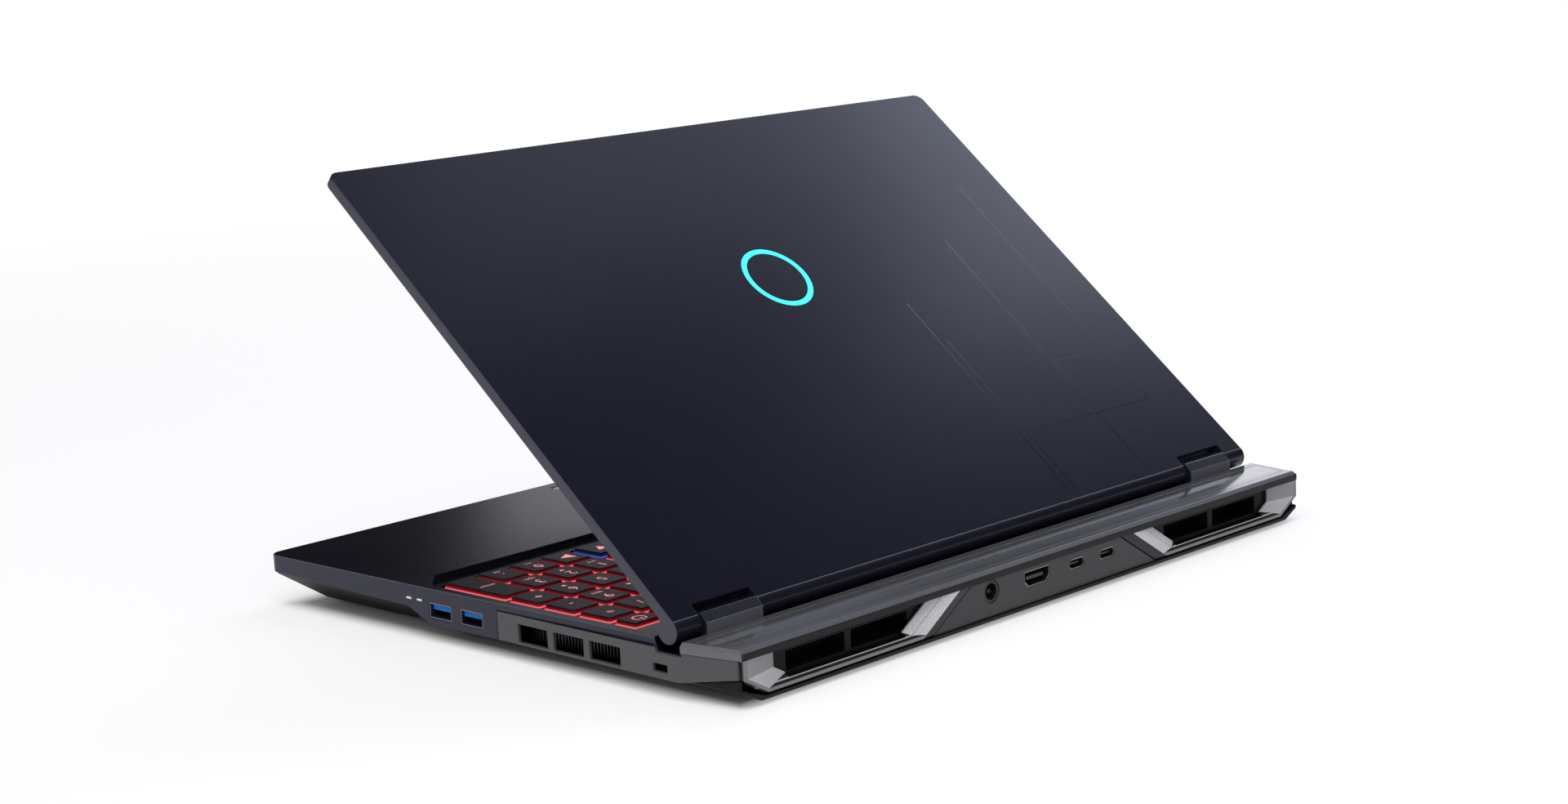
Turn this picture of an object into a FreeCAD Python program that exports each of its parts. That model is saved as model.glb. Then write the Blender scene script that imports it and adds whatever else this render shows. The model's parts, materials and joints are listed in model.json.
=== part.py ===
import FreeCAD, Part
import math
import os

# A 16 inch class laptop, in millimetres. X runs to the user's right, Y to the rear, Z up.
# The origin is on the desk, under the middle of the base. The lid stands open at lid_open_angle.

# Keyboard layout
key_pitch = 18.1
pad_pitch = 16.7
block_gap = 1.9
row_pitch = 19.8
function_pitch = 14.1
key_gap = 1.9
key_taper = 0.9
key_corner = 1.0
key_height = 2.9
key_drop = 0.2
key_travel = 1.4
key_opening_margin = 0.4
stem_radius = 1.5
stem_clearance = 0.3
stem_engagement = 0.3
keyboard_sheet = 0.4

# Deck, from the front edge to the tail
palm_depth = 91.0
well_ramp = 4.5
keys_front_gap = 6.9
keys_rear_gap = 2.5
well_rear_ramp = 2.0
deck_strip = 14.0
well_side_margin = 4.2
deck_rim = 4.1
well_depth = 1.8
well_corner = 11.0
well_floor = 1.4

# Casing
foot_height = 2.0
wall = 1.6
inner_height = 16.8
deck_thickness = 1.6
front_corner = 6.0
cover_inset = 0.8
slope_wall = 2.4
cover_side_wall = 1.4
joint_gap = 0.1

# Lower edge of the side walls, as heights above the desk
edge_front_z = 14.8
edge_step_z = 13.0
edge_low_z = 7.2
edge_seam_z = 7.4
edge_crease_z = 7.2
edge_rear_z = 11.3
front_slope_run = 16.0
side_slope_run = 11.6

# Side panels
panel_length = 102.5
step_front_lead = 54.4
step_length = 14.0
lip_thickness = 2.8
lip_wall = 2.2
panel_wall = 1.6
window_count = 3
window_length = 17.0
window_pitch = 20.4
window_height = 7.0
window_z = 8.5
first_window_lead = 12.3
lock_length = 7.6
lock_height = 3.0
lock_z = 11.4
lock_lead = 11.0

# Tail
tail_depth = 26.5
tail_flare = 1.6
tail_taper = 4.8
crease_lead = 2.0
cap_rise = 0.5
cap_thickness = 4.1
cap_wall = 1.6
cap_chamfer = 1.5
plate_border = 4.8
plate_side_border = 4.0
plate_thickness = 0.9

# Rear vents and the port panel
panel_top_half = 48.1
seam_run = 23.5
seam_gap = 0.7
seam_step = 0.2
ridge_rise = 0.8
port_panel_wall = 2.0
vent_frame_depth = 14.5
vent_flange = 1.4
vent_side_inset = 0.5
vent_floor_gap = 0.75
vent_corner_run = 12.4
panel_end_gap = 0.7
mouth_rim = 7.4
mouth_sill = 2.0
mouth_corner_rise = 6.0
mouth_corner_run = 10.6
mouth_side_margin = 2.6
throat_depth = 3.0
throat_rise = 2.8
throat_outer_inset = 16.3
throat_inner_inset = 15.0
throat_corner_run = 6.0
trim_crease_inset = 9.0
trim_crease_depth = 1.2
trim_thickness = 0.8
recess_depth = 4.4
recess_sink = 2.2
rear_window_lead = 11.4
rear_window_margin = 1.8
rear_window_height = 7.3
rear_window_rib = 3.5

# Hinge and lid
lid_open_angle = 40.25
lid_gap = 1.2
lid_inset = 0.2
lid_side_height = 4.4
lid_wall = 1.4
lid_corner = 4.5
bezel_thickness = 1.4
bezel_inset = 1.5
hinge_pin_radius = 2.4
pin_clearance = 0.05
barrel_wall = 1.6
barrel_clearance = 0.25
knuckle_wall = 1.2
knuckle_chamfer = 3.3
knuckle_length = 29.5
knuckle_inner_x = 135.0
notch_side_gap = 0.5
notch_clearance = 0.7
roll_offset = 1.55
roll_wall = 1.0
roll_clearance = 1.9
tail_clearance = 1.8
trough_gap = 0.6
trough_slope = 2.0
trough_wall = 1.6
bracket_plate = 1.6
bracket_length = 36.0
bracket_leg_width = 16.0
bracket_leg_depth = 4.0
bracket_slot_gap = 0.3
lid_arm_length = 7.0
lid_arm_reach = 1.2
lid_plate_length = 58.0
lid_plate_thickness = 1.2
chin_wall = 1.6

# Display
display_border = 3.2
display_side_gap = 1.2
display_thickness = 2.4
display_top_gap = 5.0
display_chin = 13.0
camera_length = 52.0
camera_depth = 3.4
camera_height = 2.0
camera_lens_radius = 1.4
camera_lens_height = 0.7
bumper_radius = 2.5
bumper_height = 0.7
bumper_front_inset = 5.0
bumper_side_inset = 7.5
ring_radius = 17.0
ring_width = 2.6
ring_depth = 0.8
ring_lead = 111.0

# Touchpad
touchpad_width = 124.0
touchpad_depth = 78.0
touchpad_x = -36.5
touchpad_front = 7.5
touchpad_gap = 0.4
touchpad_glass = 2.0
touchpad_drop = 0.2

# Boards and modules
board_z = 9.0
board_thickness = 1.2
board_half = 70.0
board_side_gap = 4.0
board_wing_depth = 42.0
board_wing_gap = 4.0
board_rear_gap = 6.0
board_tongue_gap = 2.0
board_frame_gap = 1.0
package_side = 38.0
package_height = 1.2
package_x = 34.0
cold_plate_margin = 2.5
cold_plate_height = 2.0
pipe_width = 7.0
pipe_height = 2.0
pipe_pitch = 8.0
pipe_count = 2
memory_width = 69.6
memory_depth = 30.0
memory_height = 3.8
memory_count = 2
drive_width = 22.0
drive_length = 80.0
drive_height = 2.2
card_width = 22.0
card_length = 30.0
card_height = 1.8
module_gap = 4.0

# Cooling
fan_side = 86.0
fan_gap = 2.0
fan_height = 10.8
fan_wall = 1.0
fan_rotor_radius = 34.0
fan_hub_radius = 13.0
fan_intake_radius = 22.0
fan_rotor_gap = 1.2
fan_floor_gap = 0.3
fan_blades = 37
fan_blade_thickness = 0.9
fan_blade_sweep = 24.0
fan_pin_radius = 1.5
fan_pin_clearance = 0.05
fin_height = 9.8
fin_pitch = 1.8
fin_thickness = 0.5
fin_spine = 1.0
rear_fin_depth = 20.0
side_fin_depth = 13.0
side_fin_z = 7.0
side_fin_height = 8.4

# Battery and speakers
battery_depth = 70.0
battery_height = 9.0
battery_front = 22.0
speaker_width = 28.0
speaker_depth = 62.0
speaker_height = 8.0
speaker_gap = 11.0
speaker_side_gap = 2.2

# Ports
usb_a_width = 12.5
usb_a_height = 5.3
usb_a_depth = 14.0
usb_a_pitch = 18.9
usb_a_count = 2
usb_a_lead = 15.5
usb_a_tongue = 1.9
usb_a_tongue_gap = 0.6
shell_wall = 0.4
port_setback = 0.3
tongue_setback = 1.2
port_foot_depth = 4.0
rear_port_z = 13.5
jack_x = 35.5
jack_radius = 3.3
jack_ring = 1.3
jack_depth = 11.0
jack_pin_radius = 0.9
hdmi_x = 7.0
hdmi_width = 15.2
hdmi_height = 5.6
hdmi_corner = 2.2
hdmi_depth = 11.0
hdmi_tongue = 1.4
usb_c_first_x = -18.5
usb_c_pitch = 20.1
usb_c_count = 2
usb_c_width = 9.2
usb_c_height = 3.3
usb_c_depth = 8.0
usb_c_tongue = 0.8
audio_radius = 1.8
audio_bore = 13.0
audio_ring = 2.6
audio_body = 5.8
audio_length = 14.5
light_lead = 47.0
light_pitch = 6.5
light_length = 3.0
light_height = 0.8
light_depth = 2.2
light_count = 2
light_z = 16.4

# Feet and screws
foot_width = 6.0
foot_corner = 2.0
front_foot_length = 60.0
rear_foot_length = 280.0
front_foot_setback = 20.0
rear_foot_setback = 30.0
screw_head_radius = 2.2
screw_head_height = 1.0
screw_radius = 1.0
screw_length = 9.0
screw_clearance = 0.05
screw_cross_length = 2.4
screw_cross_width = 0.5
screw_cross_depth = 0.6
boss_radius = 3.0
boss_gap = 0.3
intake_slots = 11
intake_slot_width = 2.4
intake_slot_pitch = 5.0
speaker_slots = 6
speaker_slot_lead = 10.0

# Places worked out from the sizes above
main_columns = 15
pad_columns = 4
main_rows = 5
main_block = main_columns * key_pitch
pad_block = pad_columns * pad_pitch
keys_width = main_block + block_gap + pad_block
keys_left = -keys_width / 2
pad_left = keys_left + main_block + block_gap
base_width = keys_width + 2 * (well_side_margin + deck_rim)
base_half = base_width / 2

hinge_bore_radius = hinge_pin_radius + pin_clearance
barrel_radius = hinge_bore_radius + barrel_wall
knuckle_half = barrel_radius + barrel_clearance + knuckle_wall
notch_reach = math.hypot(knuckle_half, knuckle_half - knuckle_chamfer) + notch_clearance
roll_radius = roll_offset + hinge_bore_radius + roll_wall
trough_length = trough_slope + trough_gap + knuckle_half + roll_radius + tail_clearance
keys_depth = main_rows * row_pitch + function_pitch
well_length = well_ramp + keys_front_gap + keys_depth + keys_rear_gap + well_rear_ramp
base_depth = palm_depth + well_length + deck_strip + trough_length + tail_depth

front_y = -base_depth / 2
rear_y = base_depth / 2
well_front_y = front_y + palm_depth
keys_front_y = well_front_y + well_ramp + keys_front_gap
keys_rear_y = keys_front_y + keys_depth
well_rear_y = well_front_y + well_length
deck_rear_y = well_rear_y + deck_strip
trough_front_y = deck_rear_y + trough_slope
tail_front_y = rear_y - tail_depth
hinge_y = tail_front_y - tail_clearance - roll_radius
crease_y = tail_front_y - crease_lead
seam_y = tail_front_y - panel_length
step_front_y = seam_y - step_front_lead
step_rear_y = step_front_y + step_length

floor_z = foot_height + wall
ceiling_z = floor_z + inner_height
deck_z = ceiling_z + deck_thickness
well_z = deck_z - well_depth
well_under_z = well_z - well_floor
closed_top_z = deck_z + lid_gap + bezel_thickness + lid_side_height
hinge_z = closed_top_z - roll_radius
trough_z = hinge_z - roll_radius - roll_clearance
trough_under_z = trough_z - trough_wall
cap_top_z = deck_z + cap_rise
cap_under_z = cap_top_z - cap_thickness

well_half = keys_width / 2 + well_side_margin
crease_half = base_half + tail_flare
rear_half = crease_half - tail_taper
lid_half = base_half - lid_inset
lid_front_y = front_y + lid_inset
lid_inner_z = closed_top_z - lid_wall
bezel_top_z = closed_top_z - lid_side_height
bezel_z = bezel_top_z - bezel_thickness
chin_y = hinge_y - notch_reach
roll_y = hinge_y - roll_offset
board_top_z = board_z + board_thickness
seam_slope = seam_run / (cap_under_z - floor_z)
port_panel_y = rear_y - ridge_rise - seam_step
panel_rear_y = rear_y - vent_flange - panel_end_gap
mouth_z = floor_z + mouth_sill
throat_z = mouth_z + throat_rise


# Shape helpers
def vec(x, y, z):
    return FreeCAD.Vector(x, y, z)


def box(x0, x1, y0, y1, z0, z1):
    return Part.makeBox(x1 - x0, y1 - y0, z1 - z0, vec(x0, y0, z0))


def prism(points, direction):
    outline = Part.makePolygon(points + [points[0]])
    return Part.Face(outline).extrude(direction)


def prism_x(points, x0, x1):
    return prism([vec(x0, y, z) for y, z in points], vec(x1 - x0, 0, 0))


def prism_y(points, y0, y1):
    return prism([vec(x, y0, z) for x, z in points], vec(0, y1 - y0, 0))


def prism_z(points, z0, z1):
    return prism([vec(x, y, z0) for x, y in points], vec(0, 0, z1 - z0))


def rod_x(y, z, radius, x0, x1):
    return Part.makeCylinder(radius, x1 - x0, vec(x0, y, z), vec(1, 0, 0))


def rod_y(x, z, radius, y0, y1):
    return Part.makeCylinder(radius, y1 - y0, vec(x, y0, z), vec(0, 1, 0))


def rod_z(x, y, radius, z0, z1):
    return Part.makeCylinder(radius, z1 - z0, vec(x, y, z0), vec(0, 0, 1))


def rounded_wire(x0, x1, y0, y1, z, radius):
    corners = [(x1 - radius, y0 + radius, 270), (x1 - radius, y1 - radius, 0),
               (x0 + radius, y1 - radius, 90), (x0 + radius, y0 + radius, 180)]
    arcs = [Part.Arc(*[vec(x + radius * math.cos(math.radians(start + turn)),
                           y + radius * math.sin(math.radians(start + turn)), z)
                       for turn in (0, 45, 90)]).toShape() for x, y, start in corners]
    edges = []
    for here, after in zip(arcs, arcs[1:] + arcs[:1]):
        edges.append(here)
        edges.append(Part.LineSegment(here.Vertexes[-1].Point, after.Vertexes[0].Point).toShape())
    return Part.Wire(edges)


def rounded_box(x0, x1, y0, y1, z0, z1, radius):
    return Part.Face(rounded_wire(x0, x1, y0, y1, z0, radius)).extrude(vec(0, 0, z1 - z0))


def mirrored(shape):
    return shape.mirror(vec(0, 0, 0), vec(1, 0, 0))


def pair(shape):
    return [shape, mirrored(shape)]


def joined(shapes):
    return shapes[0].multiFuse(shapes[1:]).removeSplitter()


def save(name, shapes):
    solids = shapes if isinstance(shapes, list) else [shapes]
    flat = [solid for shape in solids for solid in shape.Solids]
    Part.makeCompound(flat).exportStep("parts/" + name + ".step")


# The lid is drawn closed and then opened about its hinge pins.
def opened(shape):
    turned = shape.copy()
    turned.rotate(vec(0, hinge_y, hinge_z), vec(-1, 0, 0), lid_open_angle)
    return turned


def lid_pieces(shapes):
    return [opened(shape) for shape in shapes]


# Outlines of the casing
def edge_line(rise):
    return [(front_y, edge_front_z + rise), (step_front_y, edge_step_z + rise),
            (step_rear_y, edge_low_z + rise), (seam_y, edge_seam_z + rise),
            (crease_y, edge_crease_z + rise), (rear_y, edge_rear_z + rise)]


def plan_outline(inset, z0, z1):
    # The front block runs past the seam, so that only its front corners stay round.
    past_seam = seam_y + 2 * front_corner
    half = base_half - inset
    front = rounded_box(-half, half, front_y + inset, past_seam, z0, z1, front_corner)
    rear = prism_z([(-half, seam_y), (half, seam_y), (crease_half - inset, crease_y),
                    (rear_half - inset, rear_y), (-rear_half + inset, rear_y),
                    (-crease_half + inset, crease_y)], z0, z1)
    return joined([front, rear])


def tray_block(inset, bottom):
    top = edge_front_z
    half = base_half - cover_inset - inset
    near = front_y + cover_inset + inset
    front_half = half - front_slope_run
    side_half = half - side_slope_run
    front_body = prism_y([(-front_half, bottom), (front_half, bottom), (half, top), (-half, top)],
                         front_y, rear_y)
    front_cut = prism_x([(near + front_slope_run, bottom), (rear_y, bottom), (rear_y, top), (near, top)],
                        -half, half)
    rear_body = prism_y([(-side_half, bottom), (side_half, bottom), (half, edge_seam_z),
                         (half + tail_flare, top), (-half - tail_flare, top), (-half, edge_seam_z)],
                        front_y, rear_y)
    rear_cut = prism_x([(step_rear_y + inset, bottom), (rear_y, bottom), (rear_y, top),
                        (step_front_y + inset, top)], -crease_half, crease_half)
    return joined([front_body.common(front_cut), rear_body.common(rear_cut)])


def screw_places():
    beside_battery = battery_half() + speaker_gap / 2
    front_row = front_y + battery_front + boss_radius
    rear_row = front_y + battery_front + battery_depth - boss_radius
    strip_row = well_rear_y + boss_radius
    outer = board_half - boss_radius - module_gap
    places = [(side * beside_battery, y) for side in (-1, 1) for y in (front_row, rear_row)]
    places += [(side * outer, strip_row) for side in (-1, 0, 1)]
    return places


def fan_centre():
    x = board_half + fan_gap + fan_side / 2
    y = trough_front_y - fan_side / 2
    return x, y


# Base casing
def rear_corner_notch():
    # The side wall of the cover stops in front of the vent flange.
    inner = rear_half - cover_inset - cover_side_wall
    return box(inner, crease_half, panel_rear_y, rear_y, edge_seam_z, deck_z)


def bottom_cover():
    hollow = tray_block(slope_wall, floor_z)
    hollow = hollow.common(plan_outline(cover_inset + cover_side_wall, floor_z, deck_z))
    shell = tray_block(0, foot_height).cut(hollow)
    sky = prism_x(edge_line(-joint_gap) + [(rear_y, deck_z), (front_y, deck_z)], -crease_half, crease_half)
    shell = shell.cut(sky).common(plan_outline(cover_inset, foot_height, deck_z))
    cuts = pair(rear_corner_notch())
    fan_x, fan_y = fan_centre()
    for row in range(intake_slots):
        y = fan_y + (row - (intake_slots - 1) / 2) * intake_slot_pitch
        reach = math.sqrt(max(fan_rotor_radius ** 2 - (y - fan_y) ** 2, fan_hub_radius ** 2))
        cuts += pair(box(fan_x - reach, fan_x + reach, y - intake_slot_width / 2, y + intake_slot_width / 2,
                         foot_height, floor_z))
    speaker_x0, speaker_x1, speaker_y = speaker_edges()[:3]
    for row in range(speaker_slots):
        y = speaker_y + speaker_slot_lead + row * intake_slot_pitch
        cuts += pair(box(speaker_x0 + module_gap, speaker_x1 - module_gap,
                         y - intake_slot_width / 2, y + intake_slot_width / 2, foot_height, floor_z))
    for x, y in screw_places():
        cuts.append(rod_z(x, y, screw_head_radius + screw_clearance, foot_height,
                          foot_height + screw_head_height))
        cuts.append(rod_z(x, y, screw_radius + screw_clearance, foot_height, floor_z))
    return shell.cut(Part.makeCompound(cuts))


def deck_profile():
    slope_under = trough_front_y - deck_thickness
    return [(front_y, deck_z), (deck_rear_y, deck_z), (trough_front_y, trough_z), (tail_front_y, trough_z),
            (tail_front_y, trough_under_z), (slope_under, trough_under_z),
            (deck_rear_y - deck_thickness, ceiling_z), (front_y, ceiling_z)]


def side_wall():
    edge = edge_line(0)[:4]
    return prism_x([(front_y, deck_z), (seam_y, deck_z)] + edge[::-1], base_half - wall, base_half)


def keyboard_well():
    floor = prism_x([(well_front_y, deck_z), (well_front_y + well_ramp, well_z),
                     (well_rear_y - well_rear_ramp, well_z), (well_rear_y, deck_z)], -well_half, well_half)
    corners = prism_z([(-well_half, well_front_y + well_corner), (-well_half + well_corner, well_front_y),
                       (well_half - well_corner, well_front_y), (well_half, well_front_y + well_corner),
                       (well_half, well_rear_y), (-well_half, well_rear_y)], well_z, deck_z)
    return floor.common(corners)


def key_opening():
    m = key_opening_margin
    return box(keys_left - m, -keys_left + m, keys_front_y - m, keys_rear_y + m, well_under_z, deck_z)


def touchpad_edges(gap):
    half = touchpad_width / 2 + gap
    near = front_y + touchpad_front
    return touchpad_x - half, touchpad_x + half, near - gap, near + touchpad_depth + gap


def usb_a_ys():
    return [seam_y - usb_a_lead - i * usb_a_pitch for i in range(usb_a_count)]


def light_ys():
    return [seam_y - light_lead - i * light_pitch for i in range(light_count)]


def usb_a_z():
    return board_top_z + shell_wall + usb_a_height / 2


def audio_z():
    return board_top_z + audio_body / 2


def side_holes():
    half_w = usb_a_width / 2 + shell_wall
    half_h = usb_a_height / 2 + shell_wall
    x0 = base_half - wall
    ports = [box(x0, base_half, y - half_w, y + half_w, usb_a_z() - half_h, usb_a_z() + half_h)
             for y in usb_a_ys()]
    lights = [box(x0, base_half, y - light_length / 2, y + light_length / 2,
                  light_z - light_height / 2, light_z + light_height / 2) for y in light_ys()]
    audio = rod_x(usb_a_ys()[1], audio_z(), audio_ring, -base_half, -x0)
    return ports + lights + [mirrored(ports[0]), audio]


def bracket_centre():
    return knuckle_inner_x + knuckle_length / 2


def bracket_slot():
    half_x = bracket_leg_width / 2 + bracket_slot_gap
    half_y = bracket_leg_depth / 2 + bracket_slot_gap
    return box(bracket_centre() - half_x, bracket_centre() + half_x, hinge_y - half_y, hinge_y + half_y,
               trough_under_z, trough_z)


def top_case():
    deck = prism_x(deck_profile(), -base_half, base_half)
    front_wall = box(-base_half, base_half, front_y, front_y + wall, edge_front_z, ceiling_z)
    lip = box(base_half - lip_wall, base_half, seam_y, deck_rear_y, deck_z - lip_thickness, deck_z)
    well_bed = box(-base_half + wall, base_half - wall, well_front_y - wall, well_rear_y + wall,
                   well_under_z, ceiling_z)
    case = joined([deck, front_wall, well_bed] + pair(side_wall()) + pair(lip))
    outline = rounded_box(-base_half, base_half, front_y, tail_front_y + front_corner, 0, deck_z,
                          front_corner)
    bosses = [rod_z(x, y, boss_radius, floor_z, ceiling_z if y < well_front_y else well_under_z)
              for x, y in screw_places()]
    case = joined([case.common(outline)] + bosses)
    x0, x1, y0, y1 = touchpad_edges(touchpad_gap)
    cuts = [keyboard_well(), key_opening(), box(x0, x1, y0, y1, ceiling_z, deck_z)]
    cuts += side_holes() + pair(bracket_slot())
    cuts += [rod_z(x, y, screw_radius + screw_clearance, floor_z, floor_z + screw_length)
             for x, y in screw_places()]
    return case.cut(Part.makeCompound(cuts)).cut(Part.makeCompound(side_panels()))


def panel_height_outline():
    lip_under = deck_z - lip_thickness - joint_gap
    front = seam_y + joint_gap
    return [(front, edge_seam_z), (crease_y, edge_crease_z), (panel_rear_y, edge_rear_z),
            (panel_rear_y, cap_under_z), (tail_front_y, cap_under_z), (tail_front_y, trough_z),
            (trough_front_y, trough_z), (deck_rear_y, lip_under), (front, lip_under)]


def side_panel(has_lock):
    outside = [(base_half, seam_y), (crease_half, crease_y), (rear_half, rear_y)]
    inside = [(x - panel_wall, y) for x, y in outside]
    plan = outside + inside[::-1]
    panel = prism_z(plan, 0, deck_z).common(prism_x(panel_height_outline(), 0, crease_half))
    first = seam_y + first_window_lead
    cuts = [box(base_half - lip_wall, crease_half, first + i * window_pitch,
                first + i * window_pitch + window_length, window_z, window_z + window_height)
            for i in range(window_count)]
    if has_lock:
        y = tail_front_y - lock_lead
        cuts.append(box(base_half - lip_wall, crease_half, y - lock_length / 2, y + lock_length / 2,
                        lock_z - lock_height / 2, lock_z + lock_height / 2))
    return panel.cut(Part.makeCompound(cuts))


def side_panels():
    return [side_panel(True), mirrored(side_panel(False))]


# Tail
def tail_outline(inset, end_inset, z0, z1):
    front_half = crease_half - inset
    back_half = rear_half - inset
    return prism_z([(-front_half, tail_front_y + end_inset), (front_half, tail_front_y + end_inset),
                    (back_half, rear_y - end_inset), (-back_half, rear_y - end_inset)], z0, z1)


def cap_bevels():
    low = cap_top_z - cap_chamfer
    rear = prism_x([(rear_y - cap_chamfer, cap_top_z), (rear_y, cap_top_z), (rear_y, low)],
                   -crease_half, crease_half)
    side = prism([vec(crease_half - cap_chamfer, tail_front_y, cap_top_z),
                  vec(crease_half, tail_front_y, cap_top_z), vec(crease_half, tail_front_y, low)],
                 vec(-tail_taper, tail_depth, 0))
    return [rear] + pair(side)


def tail_cap():
    cap = tail_outline(0, 0, cap_under_z, cap_top_z)
    hollow = tail_outline(cap_wall, cap_wall, cap_under_z, cap_top_z - plate_thickness - cap_wall)
    bed = tail_outline(plate_side_border, plate_border, cap_top_z - plate_thickness, cap_top_z)
    return cap.cut(Part.makeCompound([hollow, bed])).cut(Part.makeCompound(cap_bevels()))


def tail_plate():
    return tail_outline(plate_side_border + joint_gap, plate_border + joint_gap,
                        cap_top_z - plate_thickness, cap_top_z)


def seam_x(z):
    return panel_top_half + (cap_under_z - z) * seam_slope


def port_panel():
    low = floor_z
    gap = seam_gap
    back = port_panel_y
    panel = prism_y([(-seam_x(low) + gap, low), (seam_x(low) - gap, low),
                     (seam_x(cap_under_z) - gap, cap_under_z), (-seam_x(cap_under_z) + gap, cap_under_z)],
                    back - port_panel_wall, back)
    holes = [hdmi_solid(shell_wall, back - port_panel_wall, back),
             rod_y(jack_x, rear_port_z, jack_radius + jack_ring, back - port_panel_wall, back)]
    holes += [usb_c_solid(i, shell_wall, back - port_panel_wall, back) for i in range(usb_c_count)]
    return panel.cut(Part.makeCompound(holes))


# Corners of a vent, from its foot beside the port panel round to the outside: first in the rear face,
# then where the silver trims end.
def mouth_points():
    outer = rear_half - mouth_side_margin
    return [(seam_x(mouth_z) + mouth_rim, mouth_z), (outer - mouth_corner_run, mouth_z),
            (outer, mouth_z + mouth_corner_rise), (outer, cap_under_z),
            (seam_x(cap_under_z) + mouth_rim, cap_under_z)]


def throat_points():
    inner = mouth_rim + throat_inner_inset
    outer = rear_half - mouth_side_margin - throat_outer_inset
    rise = throat_corner_run * mouth_corner_rise / mouth_corner_run
    return [(seam_x(throat_z) + inner, throat_z), (outer - throat_corner_run, throat_z),
            (outer, throat_z + rise), (outer, cap_under_z), (seam_x(cap_under_z) + inner, cap_under_z)]


def at_depth(points, depth):
    return [vec(x, rear_y - depth, z) for x, z in points]


def funnel():
    mouth = at_depth(mouth_points(), 0)
    throat = at_depth(throat_points(), throat_depth)
    wires = [Part.makePolygon(points + points[:1]) for points in (mouth, throat)]
    return Part.makeLoft(wires, True, True)


def vent_recess():
    throat = throat_points()
    behind = prism_y(throat, rear_y - recess_depth, rear_y - throat_depth)
    trough = box(throat[0][0], throat[1][0], rear_y - recess_depth, rear_y - vent_flange,
                 throat_z - recess_sink, throat_z)
    return [behind, trough]


def rear_windows():
    throat = throat_points()
    x0 = throat[4][0] + rear_window_lead
    x1 = throat[1][0] - rear_window_margin
    middle = (x0 + x1) / 2
    z1 = throat_z + rear_window_height
    y0 = rear_y - vent_frame_depth
    y1 = rear_y - recess_depth
    return [box(x0, middle - rear_window_rib / 2, y0, y1, throat_z, z1),
            box(middle + rear_window_rib / 2, x1, y0, y1, throat_z, z1)]


# The flange slopes out from the port panel to the ridge of the silver trim.
def flange_slope():
    x = seam_x(cap_under_z)
    return prism([vec(x, rear_y - ridge_rise, cap_under_z), vec(x, rear_y, cap_under_z),
                  vec(x + mouth_rim, rear_y, cap_under_z)], vec(seam_run, 0, floor_z - cap_under_z))


def vent_flange_plate():
    low = floor_z + vent_floor_gap
    outer = rear_half - vent_side_inset
    plate = prism_y([(seam_x(cap_under_z), cap_under_z), (seam_x(low), low), (outer - vent_corner_run, low),
                     (outer, edge_rear_z), (outer, cap_under_z)], rear_y - vent_flange, rear_y)
    return plate.cut(flange_slope())


def vent_frame():
    low = floor_z + joint_gap
    corner = rear_half - slope_wall
    body = prism_y([(seam_x(cap_under_z), cap_under_z), (seam_x(low), low), (corner - mouth_corner_run, low),
                    (corner, low + mouth_corner_rise), (corner - joint_gap, cap_under_z)],
                   rear_y - vent_frame_depth, rear_y - vent_flange)
    body = body.common(tail_outline(panel_wall + joint_gap, 0, low, cap_under_z))
    frame = joined([vent_flange_plate(), body])
    return frame.cut(Part.makeCompound([funnel()] + vent_recess() + rear_windows())).cut(
        Part.makeCompound([inner_trim(), outer_trim()]))


def trim_plate(corners):
    return prism(corners, vec(0, -trim_thickness, 0))


def crease_points():
    z = mouth_z + throat_rise * trim_crease_depth / throat_depth
    inset = mouth_rim + trim_crease_inset
    return [(seam_x(z) + inset, z), (seam_x(cap_under_z) + inset, cap_under_z)]


def inner_trim():
    mouth = at_depth(mouth_points(), 0)
    throat = at_depth(throat_points(), throat_depth)
    crease = at_depth(crease_points(), trim_crease_depth)
    return joined([trim_plate([mouth[0], mouth[4], crease[1], crease[0]]),
                   trim_plate([crease[0], crease[1], throat[4], throat[0]])])


def outer_trim():
    mouth = at_depth(mouth_points(), 0)
    throat = at_depth(throat_points(), throat_depth)
    return joined([trim_plate([mouth[i], mouth[i + 1], throat[i + 1], throat[i]]) for i in (1, 2)])


def vent_trims():
    return pair(inner_trim()) + pair(outer_trim())


# Hinges
def knuckle_points():
    h = knuckle_half
    c = knuckle_chamfer
    return [(hinge_y - h, trough_z), (hinge_y - h, hinge_z + h - c), (hinge_y - h + c, hinge_z + h),
            (hinge_y + h - c, hinge_z + h), (hinge_y + h, hinge_z + h - c), (hinge_y + h, trough_z)]


def hinge_cover():
    x0 = knuckle_inner_x
    x1 = x0 + knuckle_length
    cover = prism_x(knuckle_points(), x0, x1)
    bore = barrel_radius + barrel_clearance
    hollow = rod_x(hinge_y, hinge_z, bore, x0 + knuckle_wall, x1 - knuckle_wall)
    slot = box(x0 + knuckle_wall, x1 - knuckle_wall, hinge_y - bore, hinge_y + bore, trough_z, hinge_z)
    pin_hole = rod_x(hinge_y, hinge_z, hinge_bore_radius + barrel_clearance, x0, x1 - knuckle_wall)
    return cover.cut(joined([hollow, slot, pin_hole]))


def hinge_base_bracket():
    middle = bracket_centre()
    half_x = bracket_leg_width / 2
    half_y = bracket_leg_depth / 2
    barrel = rod_x(hinge_y, hinge_z, barrel_radius, middle - half_x, middle + half_x)
    leg = box(middle - half_x, middle + half_x, hinge_y - half_y, hinge_y + half_y, trough_under_z, hinge_z)
    plate = box(middle - bracket_length / 2, middle + bracket_length / 2, trough_front_y + joint_gap,
                tail_front_y - joint_gap, trough_under_z - bracket_plate, trough_under_z)
    bore = rod_x(hinge_y, hinge_z, hinge_bore_radius, middle - half_x, middle + half_x)
    return joined([barrel, leg, plate]).cut(bore)


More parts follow.
